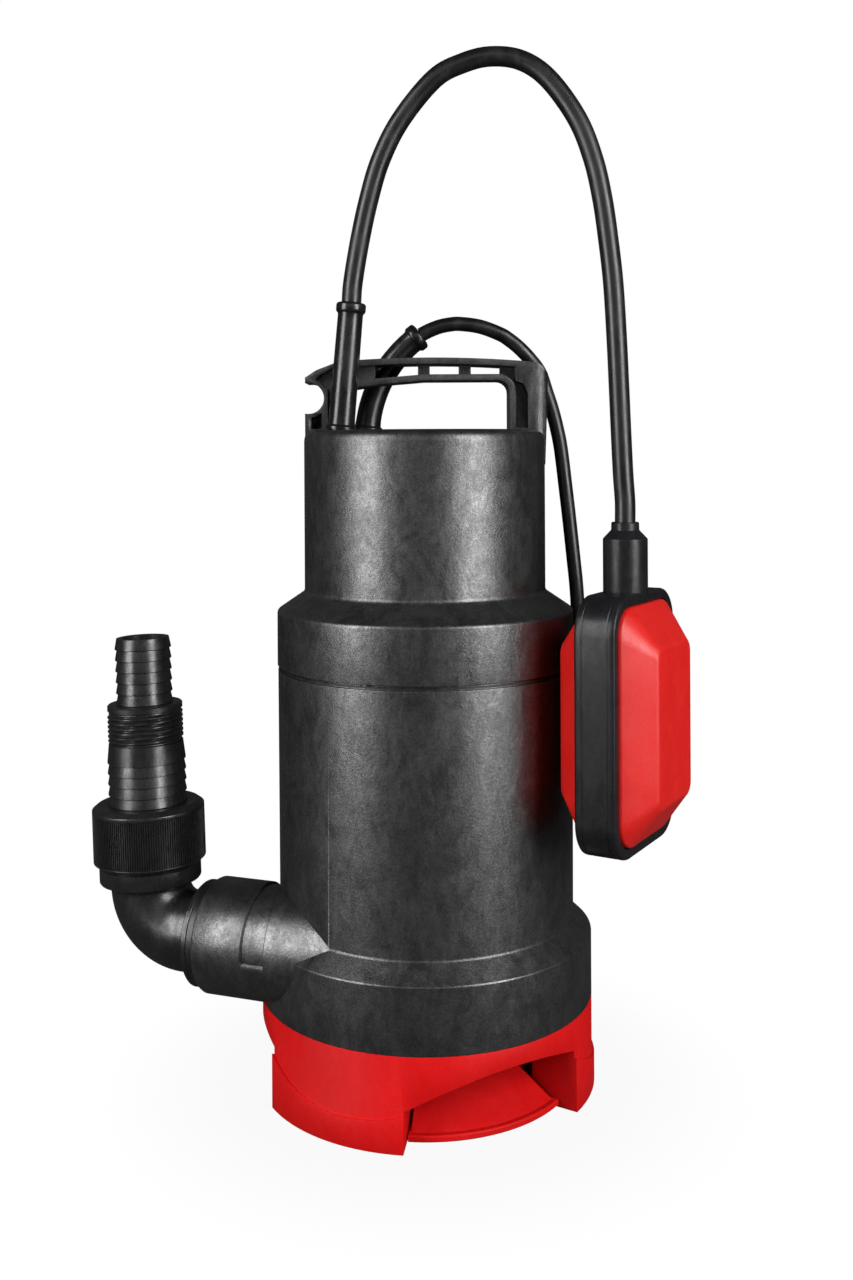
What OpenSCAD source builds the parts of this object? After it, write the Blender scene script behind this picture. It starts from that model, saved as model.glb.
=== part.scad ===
// Submersible sump pump with a float switch, a turning outlet elbow and a stepped hose connector.
// Millimetres. The origin is the centre of the base on the floor, +Z is up the motor shaft,
// and -Y is the front.

/* [Pump base] */
// Radius of the red base and of the housing collar above it
base_r = 80; // [80:0.1:80.5]
// Height of the seam between the base and the pump housing
base_h = 42; // [42:0.1:42.4]
// Radius of the three foot pads
foot_r = 81.2; // [81:0.1:82]
// Angle of the circle that each foot takes
foot_angle = 55; // [54:0.5:58]
// Direction of the middle of the first foot, anticlockwise from +X
foot_turn = -125; // [-125.5:0.1:-124.5]
// Radius of the floor plate under the suction chamber
plate_r = 72; // [70:0.5:74]
// Thickness of the floor plate
plate_t = 3; // [2:0.5:3.5]
// Radius of the circle of the long tie screws
tie_r = 66.5; // [66.3:0.1:66.8]

/* [Pump housing] */
// Outer radius of the pump housing at its top
body_r = 71.8; // [71.6:0.1:72]
// Wall thickness of the housing and of the cap
wall = 3.5; // [3:0.1:3.8]
// Height at which the housing collar ends
collar_top = 72; // [70:0.5:74]
// Height at which the sloping ledge above the collar meets the wall
ledge_top = 80; // [79:0.5:82]
// Height of the top of the pump housing
body_top = 198.8; // [198.6:0.1:199]
// Radius of the pumping chamber
chamber_r = 60.5; // [60:0.1:60.7]
// Height of the top of the pumping chamber
chamber_top = 88; // [87.8:0.1:88.2]
// Radius of the suction eye
eye_r = 23; // [20:0.5:25]

/* [Outlet] */
// Direction of the outlet, anticlockwise from +X
outlet_turn = 160; // [160:1:161]
// Height of the outlet axis
outlet_z = 70.2; // [70:0.1:70.4]
// Distance from the pump axis to the outlet axis
outlet_offset = 43; // [42.5:0.1:43]
// Distance from there to the mouth of the outlet
outlet_length = 92; // [91:0.1:93]
// Outer radius of the outlet pipe
outlet_r = 27; // [26.5:0.1:27]
// Radius of the outlet bore
outlet_bore_r = 18.9; // [18:0.1:19]

/* [Hose connector] */
// Radius of the elbow tube
elbow_r = 19.2; // [19:0.1:19.6]
// Radius of the elbow bend on its centre line
elbow_bend_r = 22; // [22:0.5:23]
// Outward lean of the hose connector
elbow_lean = 2; // [0:0.5:4]
// Outer radius of the union nut
nut_r = 27.2; // [26.5:0.1:28]
// Number of grip ribs round the union nut
nut_ribs = 72; // [36:6:84]
// Crest radius of the large hose barbs, for a 38 mm hose
large_barb_r = 19; // [18.8:0.1:19.2]
// Crest radius of the connector's outer thread
thread_r = 18.3; // [18:0.1:18.5]
// Pitch of the thread, 11 turns to the inch
thread_pitch = 2.309; // [2.309]
// Crest radius of the small hose barbs
small_barb_r = 13.7; // [13.5:0.1:14]
// Radius of the bore through the connector
connector_bore_r = 10.5; // [9:0.5:11]

/* [Motor cap] */
// Radius of the ring at the bottom of the cap
ring_r = 72.1; // [72:0.1:72.4]
// Height of the top edge of that ring
ring_top = 226.5; // [226:0.5:227]
// Radius of the upper part of the cap
cap_r = 58.8; // [58.6:0.1:59]
// Height at which the shoulder meets the upper part
shoulder_top = 235.5; // [235:0.5:236]
// Height of the top of the cap
cap_top = 313.5; // [313:0.5:314]
// Radius of the rounded rim of the cap
rim_r = 6; // [5:0.5:7]

/* [Carrying handle] */
// Depth of the handle from front to back
handle_d = 25; // [22:0.5:26]
// Height of the top of the handle at its middle
handle_top = 348.4; // [347.5:0.1:349]
// Thickness of the web between the flanges of the handle
handle_web = 4; // [3:0.5:6]

/* [Motor] */
// Radius of the motor shaft
shaft_r = 6; // [6:0.1:6.2]
// Radius of the rotor core
rotor_r = 27; // [26:0.1:27.2]
// Radial air gap between rotor and stator
air_gap = 0.5; // [0.4:0.05:0.6]
// Outer radius of the stator core
stator_r = 48.4; // [48.2:0.1:48.6]
// Number of slots in the stator
stator_slots = 24; // [12:12:24]
// Number of balls in each bearing
bearing_balls = 7; // [6:1:8]
// Outer radius of the impeller
impeller_r = 42; // [38:1:46]
// Number of impeller vanes
vane_count = 6; // [4:1:8]

/* [Float switch] */
// Direction that the front face of the float looks in, anticlockwise from +X
float_turn = -30.5; // [-32:0.5:-30]
// Width of the float
float_w = 74; // [72:0.5:75]
// Height of the black band round the float
float_h = 116; // [115:0.5:118]
// Height of the lower edge of the float above the floor
float_z = 123; // [120:0.5:126]
// Thickness of the black band
band_t = 19.4; // [19:0.2:19.8]
// Depth of the red shell on each side of the band
shell_d = 14; // [12:0.5:14]
// Radius of the steel switch ball
ball_r = 7; // [6:0.1:7]

/* [Cables] */
// Diameter of the float cable
float_cable_d = 9.4; // [9:0.1:9.6]
// Diameter of the mains cable
mains_cable_d = 7.3; // [7.2:0.1:7.3]
// Centre-line radius of the outermost turns of the coil of spare mains cable
coil_out_r = 81.9; // [81.5:0.1:82.3]
// Turns of the coil, in five layers
coil_turns = 23.875; // [23.875]
// Distance between neighbouring turns of the coil
coil_pitch = 8.7; // [8.6:0.1:8.8]
// Radius of the body of the mains plug
plug_r = 18.5; // [18:0.1:19]

/* [Hidden] */
$fn = 96;

// Colours
red = [0.84, 0.13, 0.14];
charcoal = [0.16, 0.165, 0.17];
black = [0.05, 0.05, 0.055];
steel = [0.66, 0.67, 0.69];
copper = [0.72, 0.40, 0.20];
iron = [0.36, 0.36, 0.38];
white = [0.88, 0.87, 0.84];

// Small gap between pieces that stand apart, and the reach of a cut past a face
gap = 0.3;
over = 1;

// Angles between the three feet and of the window between two feet
foot_step = 120;
window_angle = foot_step - foot_angle;
// The tie screws stand this far round from the middle of each foot, clear of the outlet
tie_turn = foot_turn + 13;
tie_shank_r = 2.5;
tie_hole_r = 2.8;
column_r = 5;
flange_z = 32.5;
flange_t = 5.5;
foot_inner_r = 58;

// Heights inside the pump housing
web_top = chamber_top + 4;
hub_top = 110;
bracket_z = 113;
bracket_t = 4;
lower_bearing_z = bracket_z + bracket_t;
bearing_w = 10;
core_z = 138;
core_h = 50;
upper_bearing_z = 199;
can_top = 210;
bracket_top = can_top + bracket_t;
inner_r = body_r - wall;

// Where the outlet's mouth lies, and the far end of the elbow bend seen from there
mouth = [
    outlet_length * cos(outlet_turn) + outlet_offset * cos(outlet_turn + 90),
    outlet_length * sin(outlet_turn) + outlet_offset * sin(outlet_turn + 90),
    outlet_z,
];
bend_start = 15;
bend_angle = 90 - elbow_lean;
bend_end = [bend_start + elbow_bend_r * sin(bend_angle), 0, elbow_bend_r * (1 - cos(bend_angle))];
// Heights along the leaning connector, from the end of the bend
spigot_top = 25.4;
seal_t = 2.5;
nut_z = 10.2;
nut_top = 39.7;
thread_z = 69.5;
small_barb_z = 88.4;
connector_top = 120.7;
first_barb_h = 4.9;
large_barb_h = 5.2;
large_barb_count = 4;
small_barb_count = 6;
barb_depth = 1.1;

// Float
float_x = 91.6;
float_y = -45;
float_mid = float_z + float_h / 2;
neck_r = 10.2;
neck_top = 267;
collar_h = 3.6;
// Wall of the band, and the seats in its two faces where the shells' borders stand
float_wall = 8;
border = 5;
border_r = 14;
seat_d = 2;

// Coil of spare mains cable, flat on the floor behind the pump
coil_x = 0;
coil_y = 168;

// Cable routes, chosen by hand
float_cable_route = [
    [-34.4, -19.5, 374.3], [-33.6, -19.5, 384], [-30.3, -20.5, 403], [-26, -22, 422], [-20.1, -24, 441],
    [-10.4, -26, 459.5], [5.5, -29, 478], [19, -30.5, 484.9], [32, -32, 487.5], [46, -34, 485],
    [58.5, -36, 475.7], [71.3, -38, 457], [78.5, -39.5, 438], [82.5, -41, 419], [85, -42, 400],
    [87, -43, 380], [88.3, -44, 355], [89.2, -44.5, 332], [90, -45, 310], [90.8, -45, 292],
    [91.6, -45, 280.1], [91.6, -45, 270.6],
];
mains_cable_route = [
    [-1.5, 20, 361.9], [3.3, 20, 364.3], [8.2, 20, 366.1], [13.3, 20, 367.1], [18.4, 20.5, 367.4],
    [28.5, 21, 366], [38.6, 22, 362.3], [43.7, 23, 359.2], [48.7, 23.5, 355.1], [53.8, 24.5, 349.8],
    [58.9, 25, 342.8], [62.4, 25.5, 332.6], [65.2, 26, 324], [67.7, 26, 313.9], [69.6, 26, 303.7],
    [72, 26, 283.3], [73.7, 26, 268], [75.8, 26, 247.6], [77.3, 26.5, 232.3], [78, 28, 217],
    [77.4, 31, 201], [76.2, 37, 183], [74, 43.5, 165], [71, 50, 147], [68, 56.5, 129],
    [65.5, 63, 111], [64, 69.5, 93], [63.7, 76, 75], [64.7, 83, 57], [67, 90.5, 40],
    [70.3, 99, 25], [74.3, 109.5, 13], [77.5, 121, 6.2], [79.8, 133, 4], [81.2, 145, 3.7],
    [81.9, 153, 3.7], [81.9, 160.7, 3.7],
];
// From the coil's last turn up over its top, to the plug that lies there
rise_r = 36;
rise_x = coil_x + 10.6;
rise_y = coil_y - 0.2;
rise_steps = [
    [-45, 38.5], [-37.5, 40.7], [-30, 42.9], [-15, 45.6], [0, 47.2], [15, 48.9], [30, 50.8],
    [45, 52.9], [60, 55.2], [75, 57.6], [90, 59.6]
];
mains_end_route = concat(
    [for (s = rise_steps) [rise_x + rise_r * cos(s[0]), rise_y + rise_r * sin(s[0]), s[1]]],
    [[rise_x - 7, rise_y + rise_r, 60.7], [rise_x - 14, rise_y + rise_r, 60.7]]
);

// ---------------------------------------------------------------- helpers

function unit(v) = v / norm(v);
function way(p, i) = unit(p[min(i + 1, len(p) - 1)] - p[max(i - 1, 0)]);
function square_to(v, t) = unit(v - (v * t) * t);
// The side direction at each point of a path, carried along without twist
function sides(p, v, i = 0, done = []) =
    i == len(p) ? done
    : let (s = square_to(v, way(p, i))) sides(p, s, i + 1, concat(done, [s]));
function arc(c, r, a0, a1, n) =
    [for (i = [0 : n]) c + r * [cos(a0 + (a1 - a0) * i / n), sin(a0 + (a1 - a0) * i / n)]];

// A closed tube of n sides along path p; v is any direction square to its start
module tube(p, r, n, v) {
    s = sides(p, v);
    rings = [
        for (i = [0 : len(p) - 1])
            let (t = way(p, i), u = cross(t, s[i]))
                for (k = [0 : n - 1]) p[i] + r * (cos(360 * k / n) * s[i] + sin(360 * k / n) * u)
    ];
    last = len(p) - 1;
    walls = [
        for (i = [0 : last - 1], k = [0 : n - 1])
            let (a = i * n + k, b = i * n + (k + 1) % n)
                each [[a, a + n, b], [b, a + n, b + n]]
    ];
    near_end = [for (k = [1 : n - 2]) [0, k, k + 1]];
    far_end = [for (k = [1 : n - 2]) [last * n, last * n + k + 1, last * n + k]];
    polyhedron(rings, concat(walls, near_end, far_end));
}

// A straight round rod from a to b
module rod(a, b, r) {
    d = b - a;
    translate(a)
        rotate([0, acos(d[2] / norm(d)), atan2(d[1], d[0])])
            cylinder(r = r, h = norm(d));
}

module ring(r_in, r_out, z, h) {
    translate([0, 0, z]) rotate_extrude() translate([r_in, 0]) square([r_out - r_in, h]);
}

// A wedge of the full height h about +X, a degrees wide
module wedge(a, z, h, reach = 120) {
    translate([0, 0, z])
        linear_extrude(h)
            polygon([[0, 0], reach * [1, -tan(a / 2)], reach * [1, tan(a / 2)]]);
}

module each_foot(turn = foot_turn) {
    for (i = [0 : 2]) rotate([0, 0, turn + foot_step * i]) children();
}

module rounded_rect(w, h, r) {
    x = w / 2 - r;
    y = h / 2 - r;
    polygon(concat(
        arc([x, y], r, 0, 90, 6), arc([-x, y], r, 90, 180, 6),
        arc([-x, -y], r, 180, 270, 6), arc([x, -y], r, 270, 360, 6)
    ));
}

// ---------------------------------------------------------------- pump base

arch_r = 97;
arch_mid = 33.6;
smile_mid = 12.6;
// How far the arches stand anticlockwise of the middles of the windows and feet
arch_shift = 10;

// The arched window between two feet, about +X
module window_cut() {
    intersection() {
        wedge(window_angle, -over, base_h);
        translate([base_r / 2, arch_shift, arch_mid - arch_r])
            rotate([0, 90, 0]) cylinder(r = arch_r, h = base_r, $fn = 192);
    }
}

module foot_pad() {
    difference() {
        intersection() {
            ring(base_r - 2 * over, foot_r, 0, flange_z);
            wedge(foot_angle + 2, 0, flange_z);
        }
        translate([base_r / 2, arch_shift, smile_mid + arch_r])
            rotate([0, 90, 0]) cylinder(r = arch_r, h = base_r, $fn = 192);
    }
}

module foot_pocket() {
    pocket_wall = 2.5;
    intersection() {
        ring(foot_inner_r + pocket_wall, base_r - pocket_wall, -over, flange_z + over);
        wedge(foot_angle - 2 * pocket_wall, -over, flange_z + over);
    }
}

plate_boss_r = 4.5;
plate_boss_at = 54;
plate_screw_r = 1.4;

module intake_base() color(red) {
    skirt_r = 76.5;
    eye_room_r = 56;
    rim_step = 75.2;
    difference() {
        union() {
            ring(skirt_r, base_r, 0, base_h);
            ring(eye_room_r, base_r, flange_z, flange_t);
            each_foot() {
                // A little wider than the foot, so that the windows cut its sides
                intersection() {
                    ring(foot_inner_r, base_r - over, 0, flange_z + over);
                    wedge(foot_angle + 2, 0, flange_z + over);
                }
                foot_pad();
                translate([plate_boss_at, 0, 1 + plate_t])
                    cylinder(r = plate_boss_r, h = flange_z - plate_t);
            }
        }
        ring(0, rim_step, flange_z + flange_t, base_h);
        each_foot(foot_turn + foot_step / 2) window_cut();
        each_foot() {
            foot_pocket();
            translate([plate_boss_at, 0, 0]) cylinder(r = plate_screw_r, h = 20);
        }
        each_foot(tie_turn)
            translate([tie_r, 0, flange_z - over]) cylinder(r = tie_hole_r, h = flange_t + 2 * over);
    }
}

// The middle of the plate rises to a flat dome, with a ramp behind each window: a cone, cut back to
// the dome over each foot. Drawn in by t it is the hollow below.
module plate_dome(t = 0) {
    dome_r = 48.5;
    ramp_foot = 69;
    ramp_head = 50;
    dome_h = 12;
    side_gap = 3;
    slope = (ramp_foot - ramp_head) / dome_h;
    // How far a wall of thickness t moves the ramp sideways, and how far the hollow starts lower
    shift = t * sqrt(1 + slope * slope);
    low = 1 + plate_t;
    drop = t > 0 ? low + over : over;
    difference() {
        translate([0, 0, low - drop])
            cylinder(r1 = ramp_foot + slope * drop - shift, r2 = ramp_head + slope * t - shift,
                     h = drop + dome_h - t);
        each_foot() difference() {
            wedge(foot_angle + side_gap + 2 * t, -2 * over, base_h);
            translate([0, 0, -3 * over]) cylinder(r = dome_r - t, h = base_h + 2 * over);
        }
    }
}

module floor_plate() color(red) {
    side_gap = 1;
    edge = 0.6;
    head_r = 3;
    difference() {
        union() {
            translate([0, 0, 1]) cylinder(r = foot_inner_r - gap, h = plate_t);
            plate_dome();
            each_foot(foot_turn + foot_step / 2)
                intersection() {
                    translate([0, 0, 1]) rotate_extrude()
                        polygon([
                            [0, 0], [plate_r - edge, 0], [plate_r, edge],
                            [plate_r, plate_t - edge], [plate_r - edge, plate_t], [0, plate_t]
                        ]);
                    wedge(window_angle - side_gap, 0, 1 + plate_t + over);
                }
        }
        plate_dome(2.6);
        each_foot() translate([plate_boss_at, 0, 0]) {
            cylinder(r = plate_screw_r + gap, h = plate_t + 2 * over);
            cylinder(r = head_r, h = 2.2);
        }
    }
}

module plate_screws() color(steel) each_foot() translate([plate_boss_at, 0, 1.2]) {
    cylinder(r = 2.7, h = 1);
    cylinder(r = plate_screw_r, h = 14);
}

seal_groove_z = base_h + 1.5;
seal_groove_h = 2;
seal_groove_depth = 1.3;

module suction_cover() color(charcoal) {
    cover_r = 74.9;
    spigot_h = 5;
    spigot_r = chamber_r - gap;
    spigot_in_r = 54;
    eye_wall = 3;
    eye_drop = 4;
    cover_z = flange_z + flange_t;
    cover_t = base_h - cover_z;
    difference() {
        union() {
            translate([0, 0, cover_z]) cylinder(r = cover_r, h = cover_t);
            ring(eye_r, eye_r + eye_wall, cover_z - eye_drop, eye_drop + over);
            ring(spigot_in_r, spigot_r, base_h - over, spigot_h + over);
        }
        translate([0, 0, cover_z - over]) cylinder(r = eye_r, h = cover_t + 2 * over);
        ring(spigot_r - seal_groove_depth, spigot_r + over, seal_groove_z, seal_groove_h);
        each_foot(tie_turn)
            translate([tie_r, 0, cover_z - over]) cylinder(r = tie_hole_r, h = cover_t + 2 * over);
    }
}

module cover_seal() color(black) {
    play = 0.1;
    ring(chamber_r - gap - seal_groove_depth + play, chamber_r - play / 2,
         seal_groove_z + play, seal_groove_h - 2 * play);
}

// ---------------------------------------------------------------- pump housing

// Places things in the frame of the outlet: +X runs out of its mouth, the origin is in its mouth
module at_mouth() {
    translate(mouth) rotate([0, 0, outlet_turn]) children();
}

// The band is a groove round the upper half of the pipe
module outlet_pipe() {
    sleeve = 26;
    band = 11.5;
    band_depth = 1.2;
    band_low = -3;
    reach = outlet_length - 6;
    at_mouth() difference() {
        rotate([0, -90, 0]) rotate_extrude()
            polygon([[0, 0], [outlet_r - over, 0], [outlet_r, over], [outlet_r, reach], [0, reach]]);
        intersection() {
            rotate([0, -90, 0]) ring(outlet_r - band_depth, outlet_r + over, sleeve, band);
            translate([-sleeve - band, -outlet_r - over, band_low])
                cube([band, 2 * (outlet_r + over), outlet_r + over - band_low]);
        }
    }
}

module pump_housing() color(charcoal) {
    hub_r = 22;
    ledge_z = 107;
    edge = 0.8;
    spigot_seat_r = 21.4;
    spigot_seat_l = 18;
    seat_hole_r = 14;
    shaft_hole_r = 8;
    bore_overrun = 14;
    difference() {
        union() {
            rotate_extrude()
                polygon([
                    [0, base_h], [base_r - edge, base_h], [base_r, base_h + edge],
                    [base_r, collar_top - edge], [base_r - edge, collar_top],
                    [body_r - 0.4, ledge_top], [body_r, body_top - edge],
                    [body_r - edge, body_top], [0, body_top]
                ]);
            outlet_pipe();
        }
        translate([0, 0, base_h - over]) cylinder(r = chamber_r, h = chamber_top - base_h + over);
        at_mouth() rotate([0, -90, 0]) {
            translate([0, 0, -over]) cylinder(r = outlet_bore_r, h = outlet_length + bore_overrun);
            translate([0, 0, -over]) cylinder(r = spigot_seat_r, h = spigot_seat_l + over);
        }
        // Motor room, less the screw columns, the seal hub and the ledge that carries the motor
        difference() {
            translate([0, 0, web_top]) cylinder(r = inner_r, h = body_top);
            each_foot(tie_turn)
                translate([tie_r, 0, 0]) cylinder(r = column_r, h = body_top + over);
            cylinder(r = hub_r, h = hub_top);
            ring(foot_inner_r, body_r, ledge_z, bracket_z - ledge_z);
        }
        translate([0, 0, chamber_top - over]) cylinder(r = shaft_hole_r, h = hub_top);
        translate([0, 0, web_top]) cylinder(r = seat_hole_r, h = hub_top);
        each_foot(tie_turn)
            translate([tie_r, 0, base_h - over]) cylinder(r = tie_hole_r, h = body_top);
    }
}

gasket_t = 0.8;
cap_z = body_top + gasket_t;
// The tie screws reach this far into bosses of this height in the cap
tie_reach = 11;
tie_boss_h = 16;

module housing_gasket() color(black) difference() {
    ring(61.5, body_r - 1, body_top, gasket_t);
    each_foot(tie_turn)
        translate([tie_r, 0, body_top - over]) cylinder(r = tie_hole_r, h = 3);
}

module tie_screws() color(steel) each_foot(tie_turn) translate([tie_r, 0, 0]) {
    head_h = 4.5;
    difference() {
        translate([0, 0, flange_z - head_h]) cylinder(r = 4.4, h = head_h);
        translate([0, 0, flange_z - head_h - over]) cylinder(r = 2.3, h = 3.5, $fn = 6);
    }
    translate([0, 0, flange_z]) cylinder(r = tie_shank_r, h = cap_z + tie_reach - flange_z);
}

// ---------------------------------------------------------------- motor cap and handle

module cap_outside() {
    lip = 1.2;
    round_r = 3;
    rotate_extrude()
        polygon(concat(
            [[0, cap_z], [ring_r - lip, cap_z], [ring_r - lip, cap_z + lip], [ring_r, cap_z + 2 * lip]],
            arc([ring_r - round_r, ring_top - 1.6], round_r, 0, 55, 4),
            [[cap_r + over, shoulder_top - over], [cap_r, shoulder_top + over]],
            arc([cap_r - rim_r, cap_top - rim_r], rim_r, 0, 90, 6),
            [[0, cap_top]]
        ));
}

float_gland = [-39.7, -19.5];
mains_gland = [-28.7, 20];
gland_r = 6.5;

module motor_cap() color(charcoal) difference() {
    cap_outside();
    difference() {
        rotate_extrude()
            polygon([
                [0, cap_z - over], [ring_r - wall, cap_z - over], [ring_r - wall, ring_top - 4],
                [cap_r - wall, shoulder_top - 4.5], [cap_r - wall, cap_top - rim_r],
                [cap_r - rim_r, cap_top - wall], [0, cap_top - wall]
            ]);
        each_foot(tie_turn)
            translate([tie_r, 0, cap_z - 2 * over]) cylinder(r = column_r, h = tie_boss_h + 2 * over);
    }
    each_foot(tie_turn)
        translate([tie_r, 0, cap_z - over]) cylinder(r = tie_shank_r + 0.05, h = tie_reach + 2 * over);
    for (g = [float_gland, mains_gland])
        translate([g[0], g[1], cap_top - wall - over]) cylinder(r = gland_r, h = wall + 2 * over);
}

// The handle seen from the front: the finger gap, the legs, the top's arc and the cable notch
grip_left = -40.5;
grip_right = 41.2;
grip_low = 333.5;
grip_high = 337.3;
grip_corner = 5.5;
leg_left = -57.4;
leg_right = 61;
arc_r = 560;
arc_x = 2;
notch_x = -55.8;
notch_z = 329;
notch_r = 7.5;
flange_w = 3;

module notch(r) translate([notch_x, notch_z]) circle(r = r, $fn = 48);

module below_arc(r) translate([arc_x, handle_top - arc_r]) circle(r = r, $fn = 360);

// The outline without its finger gap
module handle_outline() {
    corner = 10;
    corner_z = handle_top - 12.1;
    intersection() {
        polygon(concat(
            [[leg_left, cap_top - rim_r], [leg_left, notch_z + 10], [-52, 342.5], [-30, 351]],
            [[20, 352], [leg_right - corner, 352]],
            arc([leg_right - corner, corner_z], corner, 85, 0, 6),
            [[leg_right, cap_top - 17], [52, cap_top - 17], [52, cap_top - rim_r]]
        ));
        below_arc(arc_r);
    }
}

module finger_gap(grow = 0) {
    corner = 5;
    x0 = grip_left - grow;
    x1 = grip_right - grip_corner;
    polygon(concat(
        [[x0, 0], [x0, grip_low + grow - corner], [x0 + corner, grip_low + grow]],
        [[-22, grip_low + grow + 2], [0, grip_high + grow]],
        arc([x1, grip_high - grip_corner], grip_corner + grow, 90, 0, 6),
        [[grip_right + grow, 0]]
    ));
}

module carry_handle() color(charcoal) {
    pocket_d = (handle_d - handle_web) / 2;
    side_r = 7.5;
    lean_h = 62;
    difference() {
        intersection() {
            translate([0, handle_d / 2, 0]) rotate([90, 0, 0]) linear_extrude(handle_d)
                difference() {
                    handle_outline();
                    finger_gap();
                    notch(notch_r);
                }
            translate([0, 0, cap_top - 26]) cylinder(r1 = cap_r, r2 = leg_right, h = lean_h);
            translate([leg_right / 2 - 40, 0, cap_top - 26])
                linear_extrude(lean_h) rounded_rect(leg_right + 80, handle_d, side_r);
        }
        cap_outside();
        // Pockets on both sides of the web
        for (side = [-1, 1])
            translate([0, side * (handle_web + pocket_d + over) / 2, 0])
                rotate([90, 0, 0])
                    translate([0, 0, -(pocket_d + over) / 2]) linear_extrude(pocket_d + over)
                        handle_pockets();
        // Windows through the web
        translate([0, handle_d, 0]) rotate([90, 0, 0]) linear_extrude(2 * handle_d)
            intersection() {
                handle_pockets();
                for (x = [[-24, -3], [2.8, 17], [22.9, 37]])
                    translate([x[0], grip_high]) square([x[1] - x[0], handle_top - grip_high]);
            }
    }
}

// The recesses between the flanges: along the bar, in the left leg and down the right leg
module handle_pockets() {
    rib = 3;
    low = cap_top + 0.8;
    difference() {
        union() {
            intersection() {
                polygon([
                    [leg_left + flange_w, low], [leg_left + flange_w, notch_z + 7],
                    [-50.5, 340], [-30, 351], [grip_right + flange_w, 352], [grip_right + flange_w, low]
                ]);
                below_arc(arc_r - flange_w);
            }
            polygon([[grip_right, low], [grip_right, 338], [48, 335.5], [50, 331], [50, low]]);
        }
        finger_gap(flange_w);
        notch(notch_r + 2);
        translate([-49.4, cap_top]) square([rib, 20]);
    }
}

// ---------------------------------------------------------------- shaft seal

module seal_seat() color(white) ring(7, 13.9, web_top, 4);

module seal_face() color(iron) ring(shaft_r, 11, web_top + 4.05, 3.4);

spring_z = web_top + 7.6;
spring_h = 6.4;

module seal_spring() color(steel) {
    turns = 4;
    steps = 12;
    wire_r = 0.6;
    mean_r = 8.6;
    rise = spring_h - 2 * wire_r - 0.1;
    path = [
        for (i = [0 : turns * steps])
            let (a = 360 * i / steps)
                [mean_r * cos(a), mean_r * sin(a), spring_z + wire_r + rise * i / (turns * steps)]
    ];
    tube(path, wire_r, 6, [1, 0, 0]);
}

module seal_collar() color(steel) ring(shaft_r, 10.5, spring_z + spring_h, 3);

module oil_chamber_cover() color(charcoal) ring(9, 21.9, hub_top, bracket_z - hub_top);

module lip_seal() color(black) {
    rotate_extrude() polygon([
        [9, hub_top], [9, bracket_z], [8, bracket_z], [shaft_r + 0.05, hub_top + 1.6],
        [shaft_r + 0.05, hub_top + 1.2], [8, hub_top]
    ]);
}

// ---------------------------------------------------------------- bearings

bearing_in_r = shaft_r;
bearing_mid_r = 11;
bearing_out_r = 16;
race_r = 3;

module race_groove(z) {
    translate([0, 0, z + bearing_w / 2])
        rotate_extrude() translate([bearing_mid_r, 0]) circle(r = race_r, $fn = 32);
}

module bearing_outer(z) {
    difference() {
        ring(13, bearing_out_r, z, bearing_w);
        race_groove(z);
    }
}

module bearing_inner(z) {
    difference() {
        ring(bearing_in_r, 9, z, bearing_w);
        race_groove(z);
    }
}

module bearing_ball_set(z) {
    for (i = [0 : bearing_balls - 1])
        rotate([0, 0, 360 / bearing_balls * i])
            translate([bearing_mid_r, 0, z + bearing_w / 2]) sphere(r = race_r - 0.05, $fn = 24);
}

module lower_bearing_outer() color(steel) bearing_outer(lower_bearing_z);
module lower_bearing_inner() color(steel) bearing_inner(lower_bearing_z);
module lower_bearing_balls() color(steel) bearing_ball_set(lower_bearing_z);
module upper_bearing_outer() color(steel) bearing_outer(upper_bearing_z);
module upper_bearing_inner() color(steel) bearing_inner(upper_bearing_z);
module upper_bearing_balls() color(steel) bearing_ball_set(upper_bearing_z);

module shaft_ring() color(steel) ring(shaft_r - 0.5, 8.6, lower_bearing_z + bearing_w, 1.2);

module preload_washer() color(steel) {
    ring(12, bearing_out_r - 0.2, upper_bearing_z + bearing_w, can_top - upper_bearing_z - bearing_w);
}

// ---------------------------------------------------------------- motor

bolt_at = 54;
bolt_r = 2;
bolt_count = 4;
bolt_turn = 20;
bolt_head_r = 3.5;
bolt_head_h = 2.8;

module each_bolt() {
    for (i = [0 : bolt_count - 1])
        rotate([0, 0, bolt_turn + 360 / bolt_count * i]) translate([bolt_at, 0, 0]) children();
}

bearing_cup_r = 19;

module lower_bracket() color(iron) difference() {
    lower_bracket_r = 61;
    hole_h = bracket_t + 2 * over;
    union() {
        translate([0, 0, bracket_z]) cylinder(r = lower_bracket_r, h = bracket_t);
        ring(bearing_out_r, bearing_cup_r, lower_bearing_z - over, bearing_w + over);
    }
    translate([0, 0, bracket_z - over]) cylinder(r = 12, h = hole_h);
    each_bolt() translate([0, 0, bracket_z - over]) cylinder(r = bolt_r, h = hole_h);
    each_foot(tie_turn)
        translate([tie_r, 0, bracket_z - over]) cylinder(r = column_r + 2 * gap, h = hole_h);
}

module upper_bracket() color(iron) difference() {
    upper_bracket_r = 58;
    hole_h = bracket_t + 2 * over;
    union() {
        translate([0, 0, can_top]) cylinder(r = upper_bracket_r, h = bracket_t);
        ring(bearing_out_r, bearing_cup_r, upper_bearing_z, can_top - upper_bearing_z + over);
    }
    translate([0, 0, can_top - over]) cylinder(r = shaft_r + 1, h = hole_h);
    each_bolt() translate([0, 0, can_top - over]) cylinder(r = bolt_r + 0.2, h = hole_h);
}

module motor_bolts() color(steel) each_bolt() {
    translate([0, 0, bracket_z]) cylinder(r = bolt_r, h = bracket_top - bracket_z + over);
    translate([0, 0, bracket_top]) cylinder(r = bolt_head_r, h = bolt_head_h, $fn = 6);
}

module motor_can() color(steel) {
    can_t = 1.4;
    ring(stator_r, stator_r + can_t, lower_bearing_z, can_top - lower_bearing_z);
}

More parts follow.
